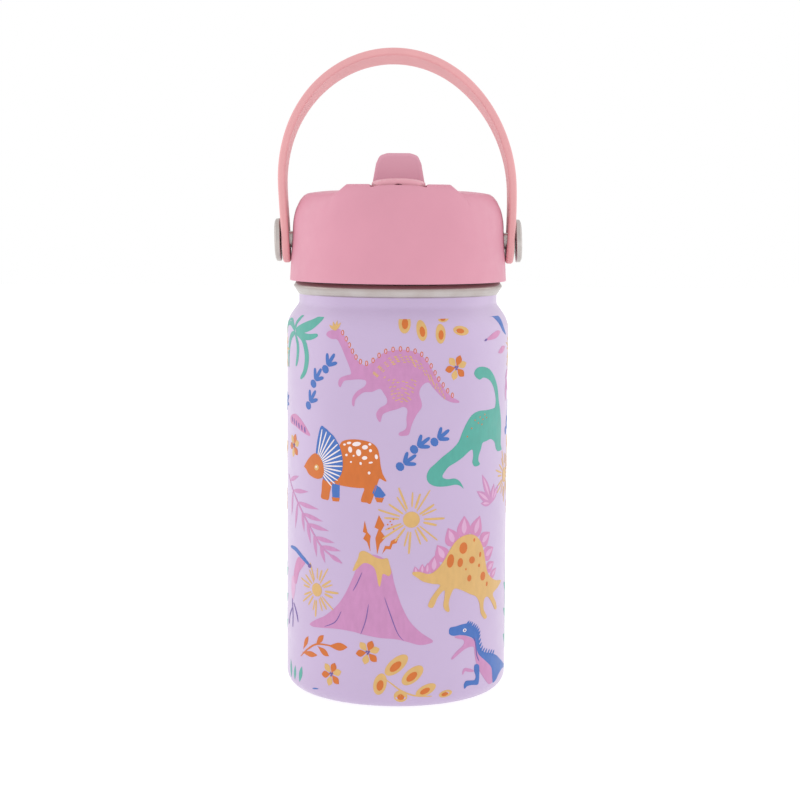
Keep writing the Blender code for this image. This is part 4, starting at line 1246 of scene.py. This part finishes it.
def print_plated():
    """Yellow dinosaur with leaf-shaped plates and orange spots."""
    plates = [
        ((6.6, 43.6), (5.9, 46.4), 1.7), ((8.3, 43.6), (8.3, 47.1), 1.9),
        ((9.8, 43.6), (10.1, 47.4), 1.9), ((12, 43.6), (12.4, 49.6), 4), ((16.2, 47.4), (13.2, 53), 4.6),
        ((19.6, 52), (16.9, 58.2), 4.8), ((23, 54), (23.1, 61.6), 5), ((27, 53.8), (30.1, 60.9), 5),
        ((30, 51.4), (35.7, 54.8), 4.6), ((31.8, 46.8), (38, 49.5), 4.4),
        ((33.4, 42.4), (38.5, 44.6), 3.4), ((36, 39.6), (40.4, 42.3), 2.4)]
    for base, tip, width in plates:
        leaf("rose", base, tip, width * 1.12, 0, 0.4, vein="blush")
    blob("gold", [
        (5.3, 44.6), (7.5, 44.6), (10.5, 43.8), (13, 45), (15.4, 47.6), (17.6, 51), (20, 53.8),
        (23, 55.2), (26.5, 55.2), (29.6, 53.4), (31.8, 50), (33, 46), (34.3, 42), (36.5, 39.8),
        (40, 38.2), (45, 37.2), (42, 35.6), (38, 34), (40.3, 30.8), (41, 28.6), (39.6, 28.6), (37.6, 31),
        (34.8, 33.6), (32.8, 33.2), (32.4, 30), (34.3, 27.2), (33, 26.6), (31, 28.8), (30.2, 32.3),
        (28.6, 34.6), (25.5, 36), (22.2, 37.6), (19.6, 38.4), (18.4, 37), (17.4, 34), (17.7, 31.2),
        (16.4, 31.4), (15.5, 33.2), (15.9, 36), (15.8, 38.2), (13.6, 36.2), (12.4, 33.6), (11.6, 32.8),
        (10.3, 33.3), (11, 35.5), (12.8, 38), (14.3, 40), (11.5, 40.6), (8.5, 41.5), (6.6, 42.8),
        (5.2, 43.8)], 2)
    spots = [
        (17.9, 47.5, 1.3, 2.2), (22.8, 51.2, 1.6, 1.9), (21.6, 46.6, 1.1, 1.5), (26.5, 46.9, 1.3, 1.2),
        (25.4, 41.1, 0.9, 1.1), (31.8, 40.9, 1.3, 1.5), (30.3, 48.2, 0.5, 0.9), (29.8, 44.7, 0.5, 0.6),
        (34, 38, 0.5, 0.8), (23.9, 44.2, 0.3, 0.4), (27.4, 53.3, 0.4, 0.6)]
    for u, v, a, b in spots:
        oval("orange", (u, v), (a, b), -8, 3)


def print_runner():
    """Small blue and rose dinosaur on two legs."""
    blob("blue", [
        (17.6, 24.6), (18, 25.8), (20, 26), (23, 26.4), (25.6, 26.2), (27.4, 25), (29.4, 23.8),
        (30.4, 22.2), (30.2, 20), (31, 17.4), (33, 15.6), (37, 14.5), (41, 13), (45, 10.8), (50, 8.3),
        (53, 7.2), (52.5, 6.2), (48, 6.8), (44, 6), (41, 4.4), (38.8, 4.2), (38.3, 6.5), (37.5, 9.5),
        (34.5, 12), (31.5, 14), (29.8, 15.8), (28.6, 18.8), (27.4, 21), (24.8, 22.3), (21.8, 23),
        (19.4, 23), (17.9, 23.6)])
    crest = [
        (24.9, 26.3), (25.7, 26), (26.5, 25.7), (27.4, 25.1), (28.2, 24.6), (29, 24), (29.6, 23.2),
        (30.1, 22.2), (30.2, 21), (30.5, 19.6), (30.9, 18.2), (31.6, 17), (32.6, 16.1), (34, 15.6),
        (35.6, 15.1), (37.2, 14.7), (38.8, 14.2)]
    for u, v in crest:
        leaf("blue", (u - 0.7, v - 0.9), (u + 0.8, v + 0.9), 0.75, 1)
    blob("pink", [
        (19.6, 22.7), (22.5, 22.8), (25.6, 21.8), (27.8, 20.4), (28.8, 18), (29.9, 15.6), (32, 13.8),
        (34.8, 11.8), (37.6, 9.4), (38.2, 6), (38.4, 4.4), (36.4, 4.2), (34.4, 5.6), (32.5, 7.6),
        (30.8, 9.6), (29.8, 11.8), (28.9, 13), (28.3, 15.6), (27.7, 18.2), (25, 18.4), (22.4, 17.4),
        (19.2, 15.4), (18.6, 15.8), (20.6, 17.8), (22.8, 19.2), (23.6, 20.4), (22.8, 21.4),
        (20.8, 22)], 1)
    blob("blue", [
        (28.3, 12.2), (30.3, 11.8), (30.5, 9), (30.3, 6.2), (29.6, 5.4), (27, 5.8), (24.8, 5.7),
        (23.9, 5), (23.6, 6.4), (24.4, 7.5), (26, 7.4), (28.4, 7.2), (28.8, 8.5), (28.1, 10.2)], 2)
    stroke("pink", [(23, 9.8), (23.8, 11.3), (25.6, 10.9), (27.9, 10.2)], 1.1, 1)
    stroke("violet", [(27.9, 21.4), (28.6, 18.6), (29.2, 15.2), (30.4, 13)], 0.5, 2)
    oval("cream", (23.7, 24.3), (0.75, 0.6), 0, 1)
    oval("violet", (23.7, 24.3), (0.35, 0.35), 0, 2)


def print_volcano():
    """Rose volcano with a golden crater, thrown-up rocks and thin gullies."""
    blob("pink", [
        (-31.8, 24.8), (-29, 26.6), (-24.5, 28.8), (-20, 32.5), (-17, 36.5), (-14.5, 41.5), (-12.8, 45.5),
        (-11.4, 48.8), (-7, 50), (-3, 48.2), (-1.6, 45.5), (-0.6, 41), (0.6, 37), (2.2, 32.8),
        (4.5, 28.6), (8, 25), (12, 22.1), (10.5, 21.2), (7.5, 21), (4, 22), (0, 23), (-5, 23.3),
        (-10, 24), (-14.5, 24.8), (-20, 25), (-26, 24.5), (-30, 24.2)])
    blob("gold", [
        (-14.2, 44.4), (-13.4, 46.6), (-12.4, 48.6), (-11.8, 50.6), (-10.4, 51.1), (-8.6, 50.4),
        (-6.5, 49.2), (-4.5, 48.8), (-2.8, 49), (-2.1, 47), (-1.6, 44.4), (-2.4, 43.3), (-3.4, 43.8),
        (-4.3, 43.9), (-4.7, 42), (-5.2, 39.8), (-5.8, 41), (-6.2, 43.4), (-7, 45.8), (-8.6, 47),
        (-10.4, 47.2), (-11.9, 46), (-13, 44.9)], 1)
    gullies = [
        [(-11, 44.2), (-12.6, 40.6), (-14.1, 37.9)], [(-18.2, 31), (-20.5, 27.2), (-24.8, 25.1)],
        [(-8.8, 34), (-9.8, 28.5), (-11.4, 24.1)], [(-3.7, 36.5), (-1.8, 31), (0.5, 25), (2.4, 22.6)]]
    for points in gullies:
        stroke("violet", points, 0.3, 1)
    bolts = [
        [(-10.2, 60.8), (-10.8, 57.2), (-9.8, 56.7), (-10.7, 55), (-9.4, 54), (-8.3, 51), (-8.5, 54.2),
         (-8.2, 56), (-9.3, 57.2)],
        [(-5.6, 62.8), (-7, 58.8), (-5.7, 58.2), (-6.7, 55.4), (-6.1, 50.2), (-5.2, 53.6), (-3.4, 55.7),
         (-4.9, 57.6), (-3.8, 59.6)],
        [(-4.5, 50.4), (-3.6, 53), (-2.2, 52.9), (-1.7, 54.6), (0.8, 55.9), (0, 53.9), (-1.2, 53.6),
         (-1.8, 51.9), (-3.2, 52)]]
    for bolt in bolts:
        stamp("orange", bolt)
    dots("orange", [(-2.8, 59.8), (-2, 60.8), (-1, 61.5), (-2.4, 58.6), (-0.9, 58.4), (-1.5, 59.8)], 0.3, 0)


def print_flyer():
    """Small winged dinosaurs at both sides."""
    blob("blue", [
        (36.4, 124.6), (38.6, 124.4), (41, 122.4), (43.6, 119.8), (48, 118.2), (45, 121), (43.4, 124.6)])
    leaf("rose", (41.5, 119.6), (31.6, 117.2), 2.2, 1, 0.35)
    leaf("violet", (33, 117.7), (31.4, 117.1), 0.7, 2)
    leaf("rose", (40, 112.8), (47, 114.4), 2.2)
    blob("rose", [(-46, 91.2), (-41, 92.4), (-36, 90.4), (-31.7, 86.4), (-36, 87), (-41, 88.4), (-46, 89.2)])
    for i in range(6):
        stroke("violet", [(-44.4 + 1.9 * i, 91.4 - 0.5 * i), (-43.9 + 1.9 * i, 89.4 - 0.5 * i)], 0.8, 1)
    stroke("blue", [(-46, 48), (-41, 47.9), (-36, 46), (-31.6, 43.9)], 1.5, 1)
    oval("violet", (-31.9, 43.9), (0.9, 0.7), 0, 2)
    blob("rose", [
        (-39, 45.6), (-34.6, 44.8), (-35.8, 43), (-38.4, 40.6), (-40.6, 36.4), (-42.8, 37.4),
        (-42, 41.4)])
    blob("blush", [(-44.6, 38), (-42, 38.4), (-41.4, 35), (-43.4, 30.6), (-45.2, 33.4)], 0)
    for points in ([(-44.4, 31), (-43.6, 26), (-43.8, 21.4)], [(-42.8, 29.8), (-40.4, 27), (-39, 24)],
                   [(-44, 28), (-47, 25), (-48.6, 21.4)]):
        stroke("violet", points, 0.75, 1)


def print_plants():
    """Leaves, flowers and suns between the animals."""
    seeds = [
        (2.2, 123.6, 3.4, 2, 88), (7.6, 121.1, 3.3, 1.7, 98), (13.8, 120, 3.1, 1.7, 90),
        (21.2, 120.8, 3, 1.5, -8), (15.4, 124.6, 2, 1, 10), (-5, 8.3, 3.6, 2.1, 76),
        (0.2, 14.6, 4.6, 2.2, 42), (5.4, 11.2, 4.2, 2.2, 40), (9.8, 6.2, 3.6, 1.7, 24),
        (1.6, 4.4, 2, 2.2, 80), (16.6, 4.4, 2.4, 1.2, 8)]
    for u, v, a, b, tilt in seeds:
        seed_leaf((u, v), (a, b), tilt)
    stroke("gold", [(-4.2, 10.6), (-1.4, 8.6), (1.6, 6.4), (6, 4.6), (12, 4)], 0.5)
    twig = [
        ((-36.4, 14.6), (-28, 15.1), 1.9), ((-35.6, 15.6), (-32.6, 20.6), 1.8),
        ((-28.8, 18.4), (-25.2, 22.2), 2), ((-28, 18.2), (-23, 15.6), 2.1),
        ((-23.4, 19), (-15.9, 19.5), 2.6)]
    for base, tip, width in twig:
        leaf("orange", base, tip, width, fullest=0.6)
    stroke("orange", [(-37.2, 13), (-33, 16.2), (-28, 18.8), (-21, 19.2)], 0.6, 1)
    for centre in ((19.5, 109.2), (-9, 18.4), (-22, 9.9), (-42.4, 82), (57, 62)):
        flower(centre)
    suns = [
        ((4.7, 61.4), 2.7, 11), ((-28.3, 36.6), 2.3, 9), ((48, 72), 2.6, 9), ((57.5, 113), 2.8, 9)]
    for centre, core, reach in suns:
        sun(centre, core, reach)

    # Palm and ferns
    palm = [
        ([(-41, 119.4), (-36, 120.6), (-31, 122.2), (-26.8, 124.8)], 3.4),
        ([(-41, 119), (-36, 118.2), (-32, 118), (-28, 118.9)], 2.1),
        ([(-41, 119), (-35.8, 117), (-33.6, 112), (-34.6, 107), (-37.5, 104.2)], 2.3),
        ([(-41.4, 118.6), (-39.4, 115), (-39.6, 111), (-40.8, 108)], 1.8),
        ([(-41.4, 119), (-46, 117), (-49, 112), (-49, 107)], 2.4),
        ([(-41.4, 119.6), (-46, 122), (-51, 121.4), (-54, 118)], 2.4),
        ([(-41, 120), (-41, 122), (-38, 125)], 1.6)]
    for points, width in palm:
        stroke("teal", points, width)
    stem = [(-49, 71.5), (-43.5, 67), (-37, 61.6), (-31, 55.8), (-26, 50.8), (-18.2, 46.5)]
    stroke("pink", stem, 0.7, 1, 0.5)
    fern = [
        ((-43.5, 67), (-32.6, 68)), ((-39.5, 63.8), (-27.4, 62.9)), ((-36, 60.6), (-25.6, 59.2)),
        ((-33.4, 57.6), (-23, 56.4)), ((-29.4, 53.8), (-20.8, 52.8)), ((-26.4, 51.2), (-18.4, 50.4)),
        ((-43.6, 67), (-45, 58.6)), ((-39.5, 63.8), (-41.4, 54.8)), ((-36.4, 61), (-35, 54.6)),
        ((-33.4, 58), (-31.4, 51.4)), ((-29.8, 54.6), (-28.4, 47.4)), ((-26.8, 51.4), (-24.6, 45.8)),
        ((-23, 48.9), (-17.8, 46.5)), ((-47, 69.8), (-38.6, 72.4))]
    for base, tip in fern:
        leaf("pink", base, tip, 1.5, 0, 0.45)
    tuft = [
        ((30.9, 74.2), 2.4), ((28.4, 69), 2.4), ((30.4, 64.8), 1.7), ((38, 70.4), 2.2),
        ((41.2, 69.6), 1.9)]
    for tip, width in tuft:
        leaf("pink", (36.4, 64.2), tip, width * 1.2, vein="blush")
    grass = [
        ((-36.4, 9.8), (-38.2, 4.2), 2.1), ((-41.4, 9), (-42, 4), 1.8), ((-46, 10), (-45.4, 4), 1.8)]
    for base, tip, width in grass:
        leaf("teal", base, tip, width)
    stroke("blue", [(-30.6, 3.6), (-29, 3.9), (-27.6, 4.1)], 0.5)
    stroke("teal", [(56, 12), (57.2, 22), (56, 32), (57.8, 41)], 0.9, 1, 0.5)
    for i in range(6):
        side = 1 if i % 2 else -1
        leaf("teal", (56.6, 14 + 4.4 * i), (56.6 + 7 * side, 18 + 4.4 * i), 2.4)
    sprig = [
        ((48, 104), (54.5, 99)), ((48, 104), (53, 106.6)), ((49, 103), (48.6, 96.4))]
    for base, tip in sprig:
        leaf("pink", base, tip, 2.2, vein="blush")
    side_seeds = [
        (56, 76, 3.8, 1.9, 60), (60.6, 80, 3.4, 1.7, 35), (53.6, 82, 3, 1.6, 110)]
    for u, v, a, b, tilt in side_seeds:
        seed_leaf((u, v), (a, b), tilt)


def print_tracks():
    """Rows of three footprints."""
    for places, heading in ((((-31.8, 97.2), (-29.2, 104.4), (-23.8, 109.4)), 54),
                            (((2.2, 79.2), (6.6, 84.6), (13.2, 86.8)), 36),
                            (((50.6, 87.4), (55.2, 92.6), (61.6, 94.8)), 38)):
        for place in places:
            footprint(place, 5.0, heading)


def make_print():
    print_long_neck()
    print_grazer()
    print_horned()
    print_plated()
    print_runner()
    print_volcano()
    print_flyer()
    print_plants()
    print_tracks()
    for (colour, layer), shape in PRINTED.items():
        name = f"print_{colour}_{layer}"
        piece(name, shape, "bottle", INKS[colour])


make_wall()
make_base()
make_rim()
make_liner()
make_lid()
make_plug()
make_lid_inside()
make_straw()
make_nozzle()
make_mouth()
make_handle()
make_pins()
dress_hidden_parts()
make_print()


# ---------------------------------------------------------------- floor, light and camera

def make_floor():
    """A floor that shines as white as the background, so that no horizon shows."""
    mesh = bpy.data.meshes.new("floor")
    half = 3.0
    corners = [(-half, -half, 0), (half, -half, 0), (half, half, 0), (-half, half, 0)]
    mesh.from_pydata(corners, [], [(0, 1, 2, 3)])
    floor = bpy.data.objects.new("floor", mesh)
    SCENE.collection.objects.link(floor)
    look = Look("floor_white", 0.8)
    look.colour((0.3, 0.3, 0.3), spread=0.01, scale=3.0)
    look.shader.inputs["Emission Color"].default_value = (1.0, 1.0, 1.0, 1.0)
    look.shader.inputs["Emission Strength"].default_value = 0.8
    mesh.materials.append(look.material)


def make_light():
    """An even white surrounding, with a weak soft box at each side."""
    world = bpy.data.worlds.new("studio")
    world.use_nodes = True
    background = world.node_tree.nodes["Background"]
    background.inputs["Color"].default_value = (1.0, 1.0, 1.0, 1.0)
    background.inputs["Strength"].default_value = 1.0
    SCENE.world = world
    for name, place, size, power in (
        ("left_soft_box", (-0.75, 0.15, 0.35), 0.7, 1.0),
        ("right_soft_box", (0.75, 0.15, 0.35), 0.7, 0.8),
    ):
        data = bpy.data.lights.new(name, "AREA")
        data.shape = "SQUARE"
        data.size = size
        data.energy = power
        light = bpy.data.objects.new(name, data)
        light.location = place
        aim = Vector((0, 0, 0.1)) - light.location
        light.rotation_euler = aim.to_track_quat("-Z", "Y").to_euler()
        light.visible_camera = False
        SCENE.collection.objects.link(light)


def make_camera():
    """A camera 0.6 m in front of the bottle that looks down by 6 degrees."""
    data = bpy.data.cameras.new("camera")
    data.lens = 82.7
    data.sensor_width = 36.0
    data.shift_x = 0.0034
    camera = bpy.data.objects.new("camera", data)
    stand = Matrix.Translation((0.0, -0.6086, 0.160))
    look_down = 0.1056
    pitch = Matrix.Rotation(math.pi / 2 - look_down, 4, "X")
    roll = Matrix.Rotation(0.0059, 4, "Z")
    camera.matrix_world = stand @ pitch @ roll
    SCENE.collection.objects.link(camera)
    SCENE.camera = camera


make_floor()
make_light()
make_camera()
SCENE.view_settings.view_transform = "Standard"
